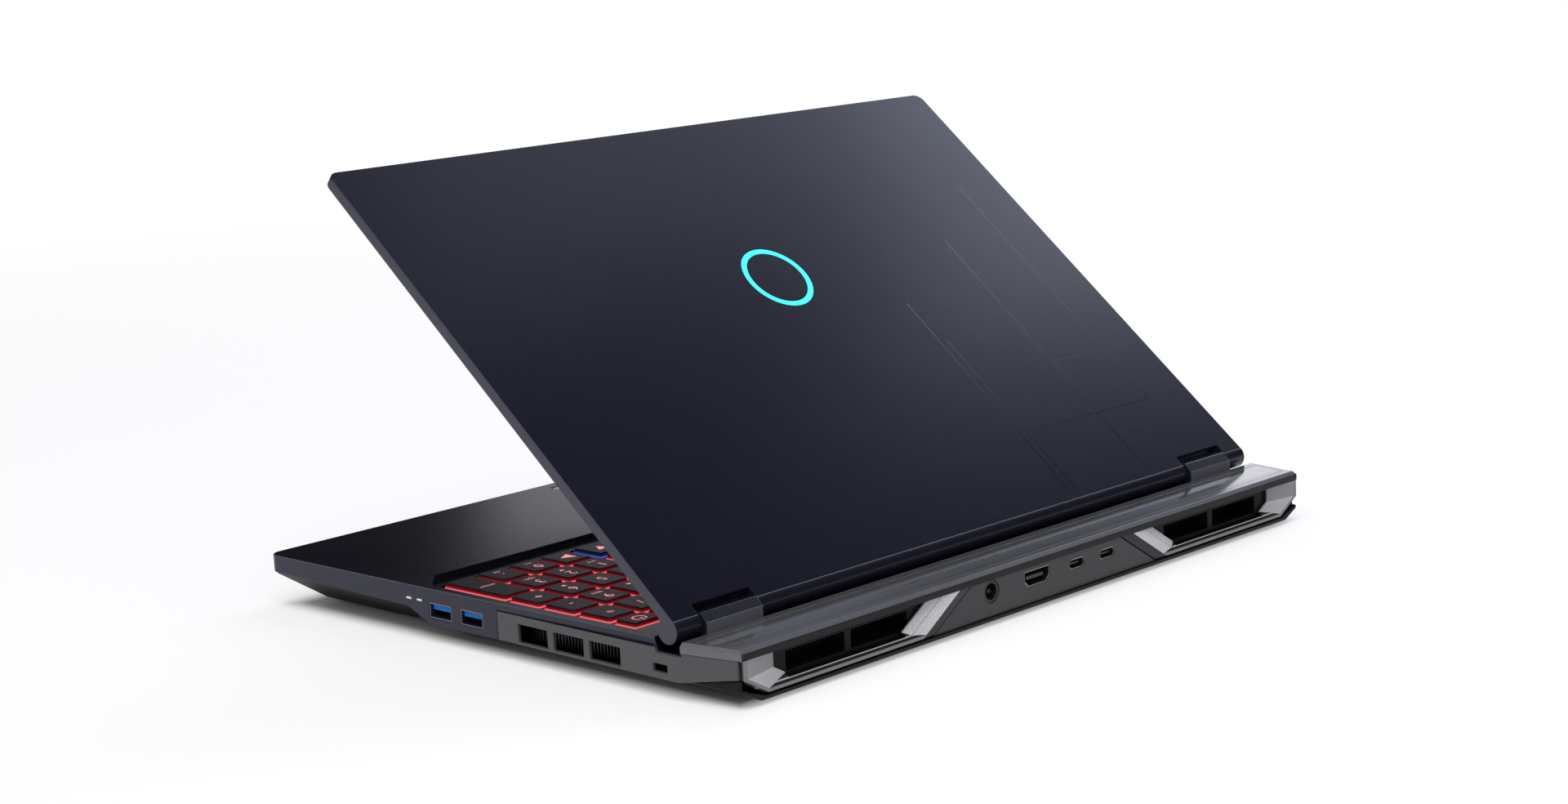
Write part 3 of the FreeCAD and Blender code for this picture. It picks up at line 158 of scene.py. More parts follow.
class LaptopColours(bpy.types.PropertyGroup):
    """Colours of the finishes."""

    def colour(title, words, value):
        return bpy.props.FloatVectorProperty(name=title, description=words, default=value, size=3,
                                             subtype="COLOR", min=0.0, max=1.0)

    lid: colour("Lid", "Satin paint of the lid", (0.0056, 0.0056, 0.0130))
    roll: colour("Roll", "Gloss paint of the lid's lower roll", (0.008, 0.008, 0.016))
    deck: colour("Deck", "Soft black paint of the keyboard deck", (0.0020, 0.0020, 0.0058))
    walls: colour("Walls", "Satin paint of the front and side walls", (0.018, 0.018, 0.040))
    # A painted highlight along the deck's side edges.
    deck_edge_highlight: colour("Deck line", "Pale line along the deck's side edges", (0.085, 0.085, 0.105))
    # The lid's side edges are painted lighter than the lid, as a painted highlight.
    edges: colour("Lid edges", "Satin paint of the lid's side edges", (0.028, 0.028, 0.050))
    hinges: colour("Hinges", "Gloss paint of the hinge covers", (0.012, 0.012, 0.020))
    # Paler rear facets of the hinge covers, a painted highlight.
    hinge_back_highlight: colour("Hinge backs", "Paler lower facets of the hinge covers", (0.085, 0.086, 0.105))
    panel: colour("Side panel", "Grained plastic of the vented side panels", (0.072, 0.072, 0.079))
    tail: colour("Tail", "Grained plastic of the tail's ends", (0.140, 0.140, 0.150))
    # The tail's rear bevel and rear face get darker copies of its plastic, as painted shade.
    tail_bevel_shade: colour("Tail bevel", "Grained plastic of the tail's rear bevel", (0.085, 0.085, 0.092))
    tail_back_shade: colour("Tail back", "Dark plastic of the tail's rear face", (0.018, 0.018, 0.020))
    plate: colour("Plate", "Smoked gloss plate on the tail", (0.055, 0.055, 0.057))
    rear: colour("Rear panel", "Textured plastic around the rear ports", (0.024, 0.024, 0.030))
    rim: colour("Rim", "Grey paint of the lower rim of the vents", (0.180, 0.180, 0.188))
    silver: colour("Silver", "Bead-blasted silver paint of the vent trims", (0.600, 0.600, 0.620))
    cover: colour("Underside", "Grained plastic of the bottom cover", (0.006, 0.006, 0.0065))
    keys: colour("Keys", "Satin plastic of the key caps", (0.0080, 0.0058, 0.0058))
    glow: colour("Key light", "Light under the keys", (0.95, 0.035, 0.070))
    legend: colour("Legends", "Lit legends on the keys", (0.80, 0.22, 0.24))
    ring: colour("Ring", "Lit ring on the lid", (0.010, 0.780, 0.850))
    tongue: colour("Port tongue", "Plastic tongue of the side ports", (0.0, 0.190, 0.640))


class LaptopSizes(bpy.types.PropertyGroup):
    """Sizes of the fine shapes."""

    def size(title, words, value):
        return bpy.props.FloatProperty(name=title, description=words, default=value, min=0.0,
                                       unit="LENGTH")

    casing_edge: size("Casing edge", "Rounding of the casing's edges", 0.30 * MM)
    trim_edge: size("Trim edge", "Rounding of plates, trims and ports", 0.15 * MM)
    key_edge: size("Key edge", "Rounding of the key caps", 0.18 * MM)
    # Width of the painted highlight line between the lid and its roll.
    roll_highlight_line: size("Roll line", "Width of the fine light line between the lid and its roll", 0.28 * MM)
    pin_line: size("Pin line", "Width of the printed lines on the lid", 0.55 * MM)
    letter_height: size("Letters", "Text size of single letters and digits", 7.5 * MM)
    word_height: size("Words", "Text size of short words", 3.6 * MM)
    second_height: size("Second words", "Text size of the second word on a key", 2.9 * MM)
    second_drop: size("Second drop", "Shift of a letter that has a second word below it", 2.0 * MM)
    legend_rise: size("Legend rise", "Height of the printed legends above the keys", 0.02 * MM)


def colours():
    return bpy.context.scene.laptop_colours


def sizes():
    return bpy.context.scene.laptop_sizes


# Finishes
class Value:
    """One socket of a finish, with the arithmetic that adds Math nodes."""

    def __init__(self, finish, socket):
        self.finish = finish
        self.socket = socket

    def math(self, operation, first, second):
        return self.finish.node("ShaderNodeMath", {"operation": operation}, [first, second])

    def __add__(self, other):
        return self.math("ADD", self, other)

    def __radd__(self, other):
        return self.math("ADD", other, self)

    def __sub__(self, other):
        return self.math("SUBTRACT", self, other)

    def __rsub__(self, other):
        return self.math("SUBTRACT", other, self)

    def __mul__(self, other):
        return self.math("MULTIPLY", self, other)

    def __rmul__(self, other):
        return self.math("MULTIPLY", other, self)

    def __truediv__(self, other):
        return self.math("DIVIDE", self, other)

    def __lt__(self, other):
        return self.math("LESS_THAN", self, other)

    def __gt__(self, other):
        return self.math("GREATER_THAN", self, other)

    def __abs__(self):
        return self.math("ABSOLUTE", self, 0.0)

    def larger(self, other):
        return self.math("MAXIMUM", self, other)


class Finish:
    """A node tree that is filled through one method."""

    def __init__(self, owner):
        owner.use_nodes = True
        self.owner = owner
        self.tree = owner.node_tree

    def feed(self, socket, value):
        if isinstance(value, Value):
            self.tree.links.new(value.socket, socket)
        elif socket.type == "RGBA":
            socket.default_value = (*value[:3], 1.0)
        else:
            socket.default_value = value

    def node(self, kind, settings, sockets, output=0):
        made = self.tree.nodes.new(kind)
        for name, value in settings.items():
            if name == "stops":
                self.set_stops(made.color_ramp.elements, value)
            else:
                setattr(made, name, value)
        pairs = sockets.items() if isinstance(sockets, dict) else enumerate(sockets)
        for key, value in pairs:
            self.feed(made.inputs[key], value)
        return Value(self, made.outputs[output])

    def set_stops(self, elements, stops):
        while len(elements) < len(stops):
            elements.new(1.0)
        for element, (place, colour) in zip(elements, stops):
            element.position = place
            element.color = (*colour, 1.0)

    def set(self, **sockets):
        shader = self.tree.nodes["Principled BSDF"]
        for name, value in sockets.items():
            self.feed(shader.inputs[name.replace("_", " ").title().replace("Ior", "IOR")], value)

    def place(self):
        return self.node("ShaderNodeTexCoord", {}, {}, "Object")

    def axes(self):
        split = self.node("ShaderNodeSeparateXYZ", {}, [self.place()]).socket.node
        return [Value(self, socket) for socket in split.outputs]

    def fed(self, name):
        """What feeds a socket of the shader so far."""
        return Value(self, self.tree.nodes["Principled BSDF"].inputs[name].links[0].from_socket)

    def noise(self, scale, detail=2.0):
        sockets = {"Vector": self.place(), "Scale": scale, "Detail": detail}
        return self.node("ShaderNodeTexNoise", {}, sockets)

    def cells(self, scale):
        return self.node("ShaderNodeTexVoronoi", {}, {"Vector": self.place(), "Scale": scale})

    def mix(self, factor, first, second):
        return self.node("ShaderNodeMix", {"data_type": "RGBA"}, {0: factor, 6: first, 7: second}, 2)

    def ramp(self, factor, stops):
        return self.node("ShaderNodeValToRGB", {"stops": stops}, [factor])

    def bump(self, height, distance, strength=1.0):
        sockets = {"Height": height, "Distance": distance, "Strength": strength}
        self.set(normal=self.node("ShaderNodeBump", {}, sockets))

    def line(self, along, at, width):
        return abs(along - at) < width / 2

    def between(self, along, low, high):
        return (along > low) * (along < high)


def new_finish(name):
    return Finish(bpy.data.materials.new(name))


def shade(colour, factor):
    return tuple(channel * factor for channel in colour)


def satin_paint(name, colour, roughness, shine):
    finish = new_finish(name)
    cloud = finish.noise(45.0)
    flake = finish.noise(5200.0, 1.0)
    finish.set(base_color=finish.mix(cloud, shade(colour, 0.86), shade(colour, 1.16)))
    finish.set(roughness=roughness + (flake - 0.5) * 0.08, specular_ior_level=shine)
    finish.bump(flake, 0.002 * MM)
    return finish


def grained_plastic(name, colour, roughness, scale, depth, shine=0.5):
    finish = new_finish(name)
    grain = finish.noise(scale, 3.0)
    cloud = finish.noise(60.0)
    tone = finish.mix(cloud, shade(colour, 0.88), shade(colour, 1.14))
    finish.set(base_color=finish.mix(grain, shade(colour, 0.72), tone))
    finish.set(roughness=roughness + (grain - 0.5) * 0.2, specular_ior_level=shine)
    finish.bump(grain, depth)
    return finish


def lid_along(finish):
    """The place across the lid, and the distance along it from the hinge line."""
    x, y, z = finish.axes()
    return x, (z - hinge_z) * math.sin(lid_turn) - (y - hinge_y) * math.cos(lid_turn)


def lid_paint():
    """Blue-black paint with thin printed lines; their colour is painted shade low on the lid and a painted
    highlight higher up, where the sheen falls.
    """
    finish = satin_paint("lid_paint", colours().lid, 0.23, 0.08)
    x, up = lid_along(finish)
    width = sizes().pin_line
    lines = finish.line(up, lid_rows[0][0], width) * finish.between(x, *lid_rows[0][1:])
    for at, low, high in lid_rows[1:]:
        lines = lines.larger(finish.line(up, at, width) * finish.between(x, low, high))
    for at, low, high in lid_columns:
        lines = lines.larger(finish.line(x, at, width) * finish.between(up, low, high))
    # The printed lines' colour runs from painted shade low on the lid to a painted highlight higher up.
    fade = finish.ramp(up / 0.2, [(0.15, (0.001, 0.001, 0.002)), (0.75, (0.13, 0.13, 0.15))])
    tone = finish.mix(lines, finish.fed("Base Color"), fade)
    # A painted highlight line along the edge between the lid and its roll.
    border = finish.line(up, lid_roll + sizes().roll_highlight_line / 2, sizes().roll_highlight_line)
    finish.set(base_color=finish.mix(border, tone, (0.11, 0.115, 0.14)))
    finish.set(roughness=finish.fed("Roughness") + lines * 0.45)
    return finish


def gloss_paint(name, colour, roughness, shine=0.25):
    finish = new_finish(name)
    cloud = finish.noise(80.0)
    finish.set(base_color=finish.mix(cloud, shade(colour, 0.8), shade(colour, 1.2)))
    finish.set(roughness=roughness + (finish.noise(2400.0) - 0.5) * 0.08, specular_ior_level=shine)
    finish.set(coat_weight=0.06, coat_roughness=0.12)
    return finish


def smoked_plate():
    """Dark gloss with fine lines along its edges and two rows of dashes, seen under the gloss."""
    finish = new_finish("smoked_plate")
    low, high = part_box("tail_plate")
    x, y = finish.axes()[:2]
    colour = colours().plate
    cloud = finish.noise(40.0)
    tone = finish.mix(cloud, shade(colour, 0.8), shade(colour, 1.2))
    first, second = [finish.line(y, high.y - row, plate_line) for row in plate_rows]
    ends = finish.line(abs(x), high.x - plate_end, plate_line) * (y < high.y - plate_rows[0])
    lines = first.larger(second).larger(ends)
    along = finish.node("ShaderNodeMath", {"operation": "PINGPONG"}, [abs(x) - dash_start, dash_step])
    row = finish.line(y, (low.y + high.y) / 2, dash_width)
    row = row * finish.line(abs(x), dash_start + dash_row / 2, dash_row)
    marks = lines.larger((along < dash_length) * row)
    finish.set(base_color=finish.mix(marks, tone, shade(colour, 0.2)))
    finish.set(roughness=0.08 + cloud * 0.012 + marks * 0.12, specular_ior_level=0.55)
    return finish


def vent_shaded_plastic():
    """The rear panel's plastic darkened as painted shade in the vent mouths, with a painted highlight line along
    the lip of the vents.
    """
    finish = grained_plastic("vent_shaded_plastic", shade(colours().rear, 0.7), 0.44, 2000.0, 0.03 * MM, 0.3)
    y, z = finish.axes()[1:]
    lip_highlight = finish.between(rear_face - y, *lip_highlight_depths) * finish.between(z, *lip_highlight_heights)
    finish.set(base_color=finish.mix(lip_highlight, finish.fed("Base Color"), shade(colours().silver, 0.6)))
    return finish


def silver_paint(name, colour):
    """Speckled silver with a line of painted shade along the crease of the trims."""
    finish = new_finish(name)
    speck = finish.cells(2600.0)
    grain = finish.noise(3000.0, 2.0)
    x, _, z = finish.axes()
    crease = finish.line(abs(x) + z * trim_slope, trim_crease, crease_shade_width)
    tone = finish.mix(speck, shade(colour, 0.70), shade(colour, 1.26))
    finish.set(base_color=finish.mix(crease, tone, shade(colour, 0.2)))
    finish.set(metallic=0.35, roughness=0.42 + grain * 0.16)
    finish.bump(grain, 0.02 * MM)
    return finish


def key_plastic(name, glow):
    """Satin key caps whose lower walls let the light through."""
    finish = new_finish(name)
    colour = colours().keys
    z = finish.axes()[2]
    grain = finish.noise(3600.0, 1.0)
    cloud = finish.noise(120.0)
    finish.set(base_color=finish.mix(cloud, shade(colour, 0.85), shade(colour, 1.2)))
    finish.set(roughness=0.46 + (grain - 0.5) * 0.16, specular_ior_level=0.10)
    finish.bump(grain, 0.01 * MM)
    depth = (key_top - z) / key_height
    bright = tuple(0.85 * channel + 0.12 * max(glow) for channel in glow)
    stops = [(0.06, black), (0.16, shade(glow, 0.05)), (0.40, shade(glow, 0.15)),
             (0.50, shade(glow, 0.50)), (0.58, bright), (0.68, bright), (0.76, shade(glow, 0.20))]
    finish.set(emission_color=finish.ramp(depth, stops), emission_strength=1.0)
    return finish


def light(name, colour, strength, scale):
    finish = new_finish(name)
    cloud = finish.noise(scale)
    finish.set(base_color=shade(colour, 0.5), roughness=0.35)
    finish.set(emission_color=finish.mix(cloud, shade(colour, 0.82), colour), emission_strength=strength)
    return finish


def plain_metal(name, colour, roughness, scale):
    finish = new_finish(name)
    grain = finish.noise(scale, 3.0)
    finish.set(base_color=finish.mix(grain, shade(colour, 0.8), shade(colour, 1.1)))
    finish.set(metallic=1.0, roughness=roughness + (grain - 0.5) * 0.18)
    return finish


def circuit_board():
    finish = new_finish("circuit_board")
    tracks = finish.node("ShaderNodeTexBrick", {"offset": 0.37},
                         {"Vector": finish.place(), "Scale": 160.0, "Mortar Size": 0.06})
    chips = finish.cells(90.0)
    tone = finish.mix(chips, (0.006, 0.020, 0.014), (0.014, 0.045, 0.032))
    lines = finish.node("ShaderNodeSeparateColor", {}, [tracks])
    finish.set(base_color=finish.mix(lines, (0.03, 0.075, 0.05), tone))
    finish.set(roughness=0.38 + chips * 0.2)
    return finish


def black_rubber():
    finish = new_finish("black_rubber")
    dust = finish.noise(900.0, 4.0)
    finish.set(base_color=finish.mix(dust, (0.010, 0.010, 0.010), (0.034, 0.033, 0.032)))
    finish.set(roughness=0.72 + dust * 0.2)
    finish.bump(dust, 0.03 * MM)
    return finish


def dark_glass(name, colour, roughness):
    finish = new_finish(name)
    smear = finish.noise(26.0, 3.0)
    finish.set(base_color=finish.mix(smear, shade(colour, 0.8), shade(colour, 1.25)))
    finish.set(roughness=roughness + smear * 0.06)
    finish.set(coat_weight=0.3, coat_roughness=0.06)
    return finish


def matt_display():
    """A dark screen with a fine matt coating."""
    finish = new_finish("display_matt")
    grain = finish.noise(7000.0, 1.0)
    smear = finish.noise(26.0, 3.0)
    finish.set(base_color=finish.mix(smear, (0.004, 0.004, 0.005), (0.006, 0.006, 0.008)))
    finish.set(roughness=0.30 + (grain - 0.5) * 0.10, specular_ior_level=0.35)
    finish.bump(grain, 0.002 * MM)
    return finish


# Work on meshes
def only(piece):
    bpy.ops.object.select_all(action="DESELECT")
    piece.select_set(True)
    bpy.context.view_layer.objects.active = piece


def edit(piece):
    only(piece)
    bpy.ops.object.mode_set(mode="EDIT")
    bpy.ops.mesh.select_all(action="SELECT")


def leave_edit():
    bpy.ops.object.mode_set(mode="OBJECT")


def paint(piece, *finishes):
    piece.data.materials.clear()
    for finish in finishes:
        piece.data.materials.append(finish.owner)


def paint_faces(piece, index, test):
    for face in piece.data.polygons:
        if test(face.center):
            face.material_index = index


def round_edges(piece, width):
    only(piece)
    bpy.ops.object.shade_smooth()
    bevel = piece.modifiers.new("edges", "BEVEL")
    bevel.width = width
    bevel.segments = 2
    bevel.limit_method = "ANGLE"
    bevel.angle_limit = edge_angle
    bevel.use_clamp_overlap = False
    weigh = piece.modifiers.new("flats", "WEIGHTED_NORMAL")
    weigh.keep_sharp = True
    for modifier in ("edges", "flats"):
        bpy.ops.object.modifier_apply(modifier=modifier)


def clean_copy(node):
    """A copy of a node's mesh with its triangles merged into whole faces."""
    piece = bpy.data.objects.new("fine_" + node, frame["nodes"][node].data.copy())
    bpy.context.scene.collection.objects.link(piece)
    edit(piece)
    bpy.ops.mesh.customdata_custom_splitnormals_clear()
    bpy.ops.mesh.remove_doubles(threshold=merge_distance)
    bpy.ops.mesh.dissolve_limited(angle_limit=flat_angle)
    leave_edit()
    return piece


def stand_for(piece, node):
    """Shows a piece in place of a node, on the node's body."""
    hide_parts(node)
    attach(piece, body_of[node])


def dress(node, width, *finishes):
    piece = clean_copy(node)
    round_edges(piece, width)
    paint(piece, *finishes)
    stand_for(piece, node)
    return piece


def finish_node(node, finish):
    paint(frame["nodes"][node], finish)


def lid_up(point):
    return (point.z - hinge_z) * math.sin(lid_turn) - (point.y - hinge_y) * math.cos(lid_turn)


def join(name, pieces):
    only(pieces[0])
    for piece in pieces:
        piece.select_set(True)
    if len(pieces) > 1:
        bpy.ops.object.join()
    pieces[0].name = name
    return pieces[0]


class LAPTOP_OT_lid(bpy.types.Operator):
    """Dress the lid's cover and its gloss roll"""

    bl_idname = "laptop.lid"
    bl_label = "Lid"

    def execute(self, context):
        roll = gloss_paint("roll_paint", colours().roll, 0.28)
        # The lid's side faces get a lighter paint, a painted highlight on the lit sides.
        edges = satin_paint("lid_edge_highlight_paint", colours().edges, 0.36, 0.5)
        cover = dress("lid_back_cover", sizes().casing_edge, lid_paint(), roll, edges)
        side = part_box("lid_back_cover")[1].x - sizes().casing_edge
        paint_faces(cover, 1, lambda centre: lid_up(centre) < lid_roll)
        paint_faces(cover, 2, lambda centre: abs(centre.x) > side)
        return {"FINISHED"}


class LAPTOP_OT_ring(bpy.types.Operator):
    """Light the ring on the lid"""

    bl_idname = "laptop.ring"
    bl_label = "Lid ring"

    def execute(self, context):
        dress("lid_light_ring", sizes().trim_edge, light("ring_light", colours().ring, 1.0, 120.0))
        return {"FINISHED"}


class LAPTOP_OT_screen(bpy.types.Operator):
    """Dress the display, its bezel, the camera and the bumpers"""

    bl_idname = "laptop.screen"
    bl_label = "Screen"

    def execute(self, context):
        bezel = grained_plastic("bezel_plastic", black_plastic, 0.5, 2400.0, 0.02 * MM)
        dress("screen_bezel", sizes().casing_edge, bezel)
        finish_node("display_panel", matt_display())
        finish_node("camera_module", dark_glass("camera_glass", (0.008, 0.008, 0.012), 0.08))
        dress("lid_bumpers", sizes().trim_edge, black_rubber())
        return {"FINISHED"}


class LAPTOP_OT_hinges(bpy.types.Operator):
    """Dress the hinge covers and the brackets under them"""

    bl_idname = "laptop.hinges"
    bl_label = "Hinges"

    def execute(self, context):
        navy = gloss_paint("hinge_paint", colours().hinges, 0.32)
        # The covers' top faces get the near-black deck paint as painted shade, and their rear facets a paler paint
        # as a painted highlight.
        dark = gloss_paint("hinge_top_shade", colours().deck, 0.3)
        pale = gloss_paint("hinge_back_highlight_paint", colours().hinge_back_highlight, 0.36)
        covers = dress("hinge_covers", sizes().casing_edge, navy, dark, pale)
        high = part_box("hinge_covers")[1]
        edge = sizes().casing_edge / 2
        paint_faces(covers, 1, lambda centre: centre.z > high.z - edge)
        paint_faces(covers, 2, lambda centre: centre.y > high.y - edge)
        steel = plain_metal("bracket_steel", (0.35, 0.35, 0.37), 0.4, 700.0)
        finish_node("hinge_base_brackets", steel)
        finish_node("hinge_lid_brackets", steel)
        return {"FINISHED"}


class LAPTOP_OT_deck(bpy.types.Operator):
    """Dress the keyboard deck and the touchpad"""

    bl_idname = "laptop.deck"
    bl_label = "Deck"

    def execute(self, context):
        deck = satin_paint("deck_paint", colours().deck, 0.28, 0.045)
        deck.set(specular_tint=(0.82, 0.82, 1.0))
        walls = satin_paint("wall_paint", colours().walls, 0.38, 0.3)
        line = satin_paint("deck_edge_highlight_paint", colours().deck_edge_highlight, 0.30, 0.4)
        case = dress("top_case", sizes().casing_edge, deck, walls, line)
        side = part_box("top_case")[1].x - sizes().casing_edge
        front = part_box("top_case")[0].y + sizes().casing_edge
        paint_faces(case, 1, lambda centre: centre.z < deck_top - sizes().casing_edge
                    and (abs(centre.x) > side or centre.y < front))
        # The bevel faces along the deck's side edges get a paler paint, a painted highlight.
        corners = [corner.co for corner in frame["nodes"]["top_case"].data.vertices]
        rim = max(abs(corner.x) for corner in corners if corner.z > deck_top - level_tolerance)
        reach = 1.5 * sizes().casing_edge
        paint_faces(case, 2, lambda centre: deck_top - reach < centre.z < deck_top - level_tolerance / 10
                    and abs(abs(centre.x) - rim) < reach)
        dress("touchpad", sizes().trim_edge, dark_glass("touchpad_glass", (0.016, 0.016, 0.025), 0.3))
        return {"FINISHED"}


class LAPTOP_OT_keys(bpy.types.Operator):
    """Dress the key caps and light the sheet under them"""

    bl_idname = "laptop.keys"
    bl_label = "Keys"

    def execute(self, context):
        red = key_plastic("key_plastic", tuple(colours().glow))
        blue = key_plastic("key_plastic_blue", (0.02, 0.05, 0.45))
        for node in key_nodes:
            dress(node, sizes().key_edge, red)
        for node in row_nodes:
            piece = dress(node, sizes().key_edge, red, blue)
            if node == "keys_bottom_row":
                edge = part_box("key_right_arrow")[0].x
                paint_faces(piece, 1, lambda centre: edge - key_pitch < centre.x < edge)
        finish_node("keyboard_backlight", light("key_light", colours().glow, 0.55, 200.0))
        finish_node("keyboard_plate", plain_metal("plate_steel", (0.08, 0.08, 0.08), 0.5, 900.0))
        return {"FINISHED"}


def key_faces(node):
    """The middles of a node's key tops, from left to right."""
    piece = clean_copy(node)
    tops = [face.center.copy() for face in piece.data.polygons
            if face.normal.z > 0.99 and face.center.z > key_top - 0.1 * MM]
    bpy.data.objects.remove(piece)
    return sorted(tops, key=lambda centre: centre.x)


def printed(text, size, x, y):
    bpy.ops.object.select_all(action="DESELECT")
    bpy.ops.object.text_add()
    words = bpy.context.object
    words.data.body = text
    words.data.size = size
    words.data.align_x = "CENTER"
    words.data.align_y = "CENTER"
    words.data.resolution_u = 3
    bpy.ops.object.convert(target="MESH")
    words = bpy.context.object
    words.location = (x, y, key_top + sizes().legend_rise)
    bpy.ops.object.transform_apply(location=True, rotation=True, scale=True)
    return words


def legend(text, centre):
    """The legend of one key, with a second small word below the first where it has one."""
    first, *second = text.split()
    size = sizes().word_height if len(first) > 1 else sizes().letter_height
    shift = sizes().second_drop if second else 0.0
    pieces = [printed(first, size, centre.x, centre.y + shift)]
    pieces += [printed(word, sizes().second_height, centre.x, centre.y - 2 * shift) for word in second]
    return pieces


class LAPTOP_OT_legends(bpy.types.Operator):
    """Print lit legends on the keys"""

    bl_idname = "laptop.legends"
    bl_label = "Key legends"

    def execute(self, context):
        finish = light("legend_light", colours().legend, 1.0, 900.0)
        texts = dict(row_legends)
        texts.update({node: [text] for node, text in single_legends.items()})
        for node, words in texts.items():
            centres = key_faces(node)
            if len(centres) != len(words):
                raise RuntimeError("%s has %d keys and %d legends" % (node, len(centres), len(words)))
            parts = [part for text, centre in zip(words, centres) for part in legend(text, centre)]
            piece = join("legend_" + node, parts)
            paint(piece, finish)
            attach(piece, body_of[node])
        return {"FINISHED"}


class LAPTOP_OT_sides(bpy.types.Operator):
    """Dress the vented side panels and the status lights"""

    bl_idname = "laptop.sides"
    bl_label = "Side panels"

    def execute(self, context):
        plastic = grained_plastic("panel_plastic", colours().panel, 0.46, 1500.0, 0.05 * MM)
        # A line of painted shade along the panel's top and front edges, where it meets the case.
        seam_shade = grained_plastic("panel_seam_shade", colours().cover, 0.60, 1500.0, 0.05 * MM)
        panels = dress("side_panels", sizes().casing_edge, plastic, seam_shade)
        top = max(vertex.co.z for vertex in panels.data.vertices) - sizes().casing_edge
        front = min(vertex.co.y for vertex in panels.data.vertices) + sizes().casing_edge
        paint_faces(panels, 1, lambda centre: centre.z > top or centre.y < front)
        dress("status_lights", sizes().trim_edge, light("status_light", (0.75, 0.78, 0.82), 0.5, 400.0))
        return {"FINISHED"}


class LAPTOP_OT_tail(bpy.types.Operator):
    """Dress the tail cap and its smoked plate"""

    bl_idname = "laptop.tail"
    bl_label = "Tail"

    def execute(self, context):
        ends = grained_plastic("tail_plastic", colours().tail, 0.42, 2200.0, 0.03 * MM)
        # The rear face and rear bevel of the cap get darker copies of the tail's plastic, as painted shade.
        back = grained_plastic("tail_back_shade_plastic", colours().tail_back_shade, 0.40, 2200.0, 0.02 * MM, 0.1)
        bevel = grained_plastic("tail_bevel_shade_plastic", colours().tail_bevel_shade, 0.42, 2200.0, 0.03 * MM, 0.3)
        border = gloss_paint("tail_gloss", colours().plate, 0.14, 0.5)
        cap = dress("tail_cap", sizes().trim_edge, ends, back, bevel, border)
        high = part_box("tail_cap")[1]
        edge = sizes().trim_edge / 2
        paint_faces(cap, 2, lambda centre: centre.y > high.y - tail_bevel_depth)
        paint_faces(cap, 1, lambda centre: centre.y > high.y - edge)
        paint_faces(cap, 3, lambda centre: centre.z > high.z - edge)
        dress("tail_plate", sizes().trim_edge, smoked_plate())
        return {"FINISHED"}


class LAPTOP_OT_rear(bpy.types.Operator):
    """Dress the rear vents, their silver trims and the port panel"""

    bl_idname = "laptop.rear"
    bl_label = "Rear vents"

    def execute(self, context):
        rim = grained_plastic("rim_paint", colours().rim, 0.40, 2600.0, 0.02 * MM)
        # The deep faces inside the vents get near-black plastic: dark plastic made darker still as painted shade
        # in the recess.
        duct_shade = grained_plastic("duct_shade_plastic", (0.003, 0.003, 0.003), 0.6, 2000.0, 0.03 * MM, 0.2)
        frames = dress("vent_frames", sizes().trim_edge, vent_shaded_plastic(), rim, duct_shade)
        paint_faces(frames, 1, lambda centre: centre.y > rear_face - rim_depth)
        paint_faces(frames, 2, lambda centre: centre.y < rear_face - duct_shade_depth)
        silver = tuple(colours().silver)
        # The corner facets and outer walls of the trims get darker copies of the silver, painted shade for how the
        # light falls on them.
        trims = dress("vent_trims", silver_edge, silver_paint("silver_paint", silver),
                      silver_paint("corner_silver_shaded", shade(silver, 0.74)),
                      silver_paint("wall_silver_shaded", shade(silver, 0.40)))
        paint_faces(trims, 1, lambda centre: abs(centre.x) > corner_start)
        paint_faces(trims, 2, lambda centre: abs(centre.x) > corner_start
                    and centre.z > corner_wall_height)
        dress("rear_port_panel", sizes().trim_edge,
              grained_plastic("port_panel_plastic", colours().rear, 0.48, 1400.0, 0.05 * MM))
        return {"FINISHED"}


class LAPTOP_OT_ports(bpy.types.Operator):
    """Dress the side and rear ports"""

    bl_idname = "laptop.ports"
    bl_label = "Ports"

    def execute(self, context):
        steel = plain_metal("port_steel", (0.26, 0.26, 0.27), 0.34, 1800.0)
        blue = grained_plastic("tongue_plastic", colours().tongue, 0.4, 2600.0, 0.01 * MM, 0.15)
        dark = grained_plastic("port_plastic", black_plastic, 0.42, 2600.0, 0.01 * MM)
        side = dress("usb_a_ports", port_edge, steel, blue)
        low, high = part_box("usb_a_ports")
        bottom = low.z + usb_a_tongue[0]
        top = high.z - usb_a_tongue[1]
        mouth = high.x - usb_a_lip
        paint_faces(side, 1, lambda centre: bottom < centre.z < top and abs(centre.x) < mouth)
        for node, drop in tongue_drop.items():
            piece = dress(node, port_edge, steel, dark)
            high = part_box(node)[1]
            middle = high.z - drop
            back = high.y - rear_port_lip
            paint_faces(piece, 1, lambda centre: abs(centre.z - middle) < tongue_half and centre.y < back)
        dress("power_jack", sizes().trim_edge, gloss_paint("jack_plastic", black_plastic, 0.25))
        dress("audio_jack", sizes().trim_edge, dark)
        return {"FINISHED"}


class LAPTOP_OT_underside(bpy.types.Operator):
    """Dress the bottom cover, the feet and the screws"""

    bl_idname = "laptop.underside"
    bl_label = "Underside"

    def execute(self, context):
        dress("bottom_cover", sizes().casing_edge,
              grained_plastic("cover_plastic", colours().cover, 0.5, 1500.0, 0.04 * MM, 0.2))
        dress("rubber_feet", sizes().casing_edge, black_rubber())
        dress("bottom_screws", sizes().trim_edge,
              plain_metal("screw_steel", (0.06, 0.06, 0.065), 0.42, 1600.0))
        return {"FINISHED"}


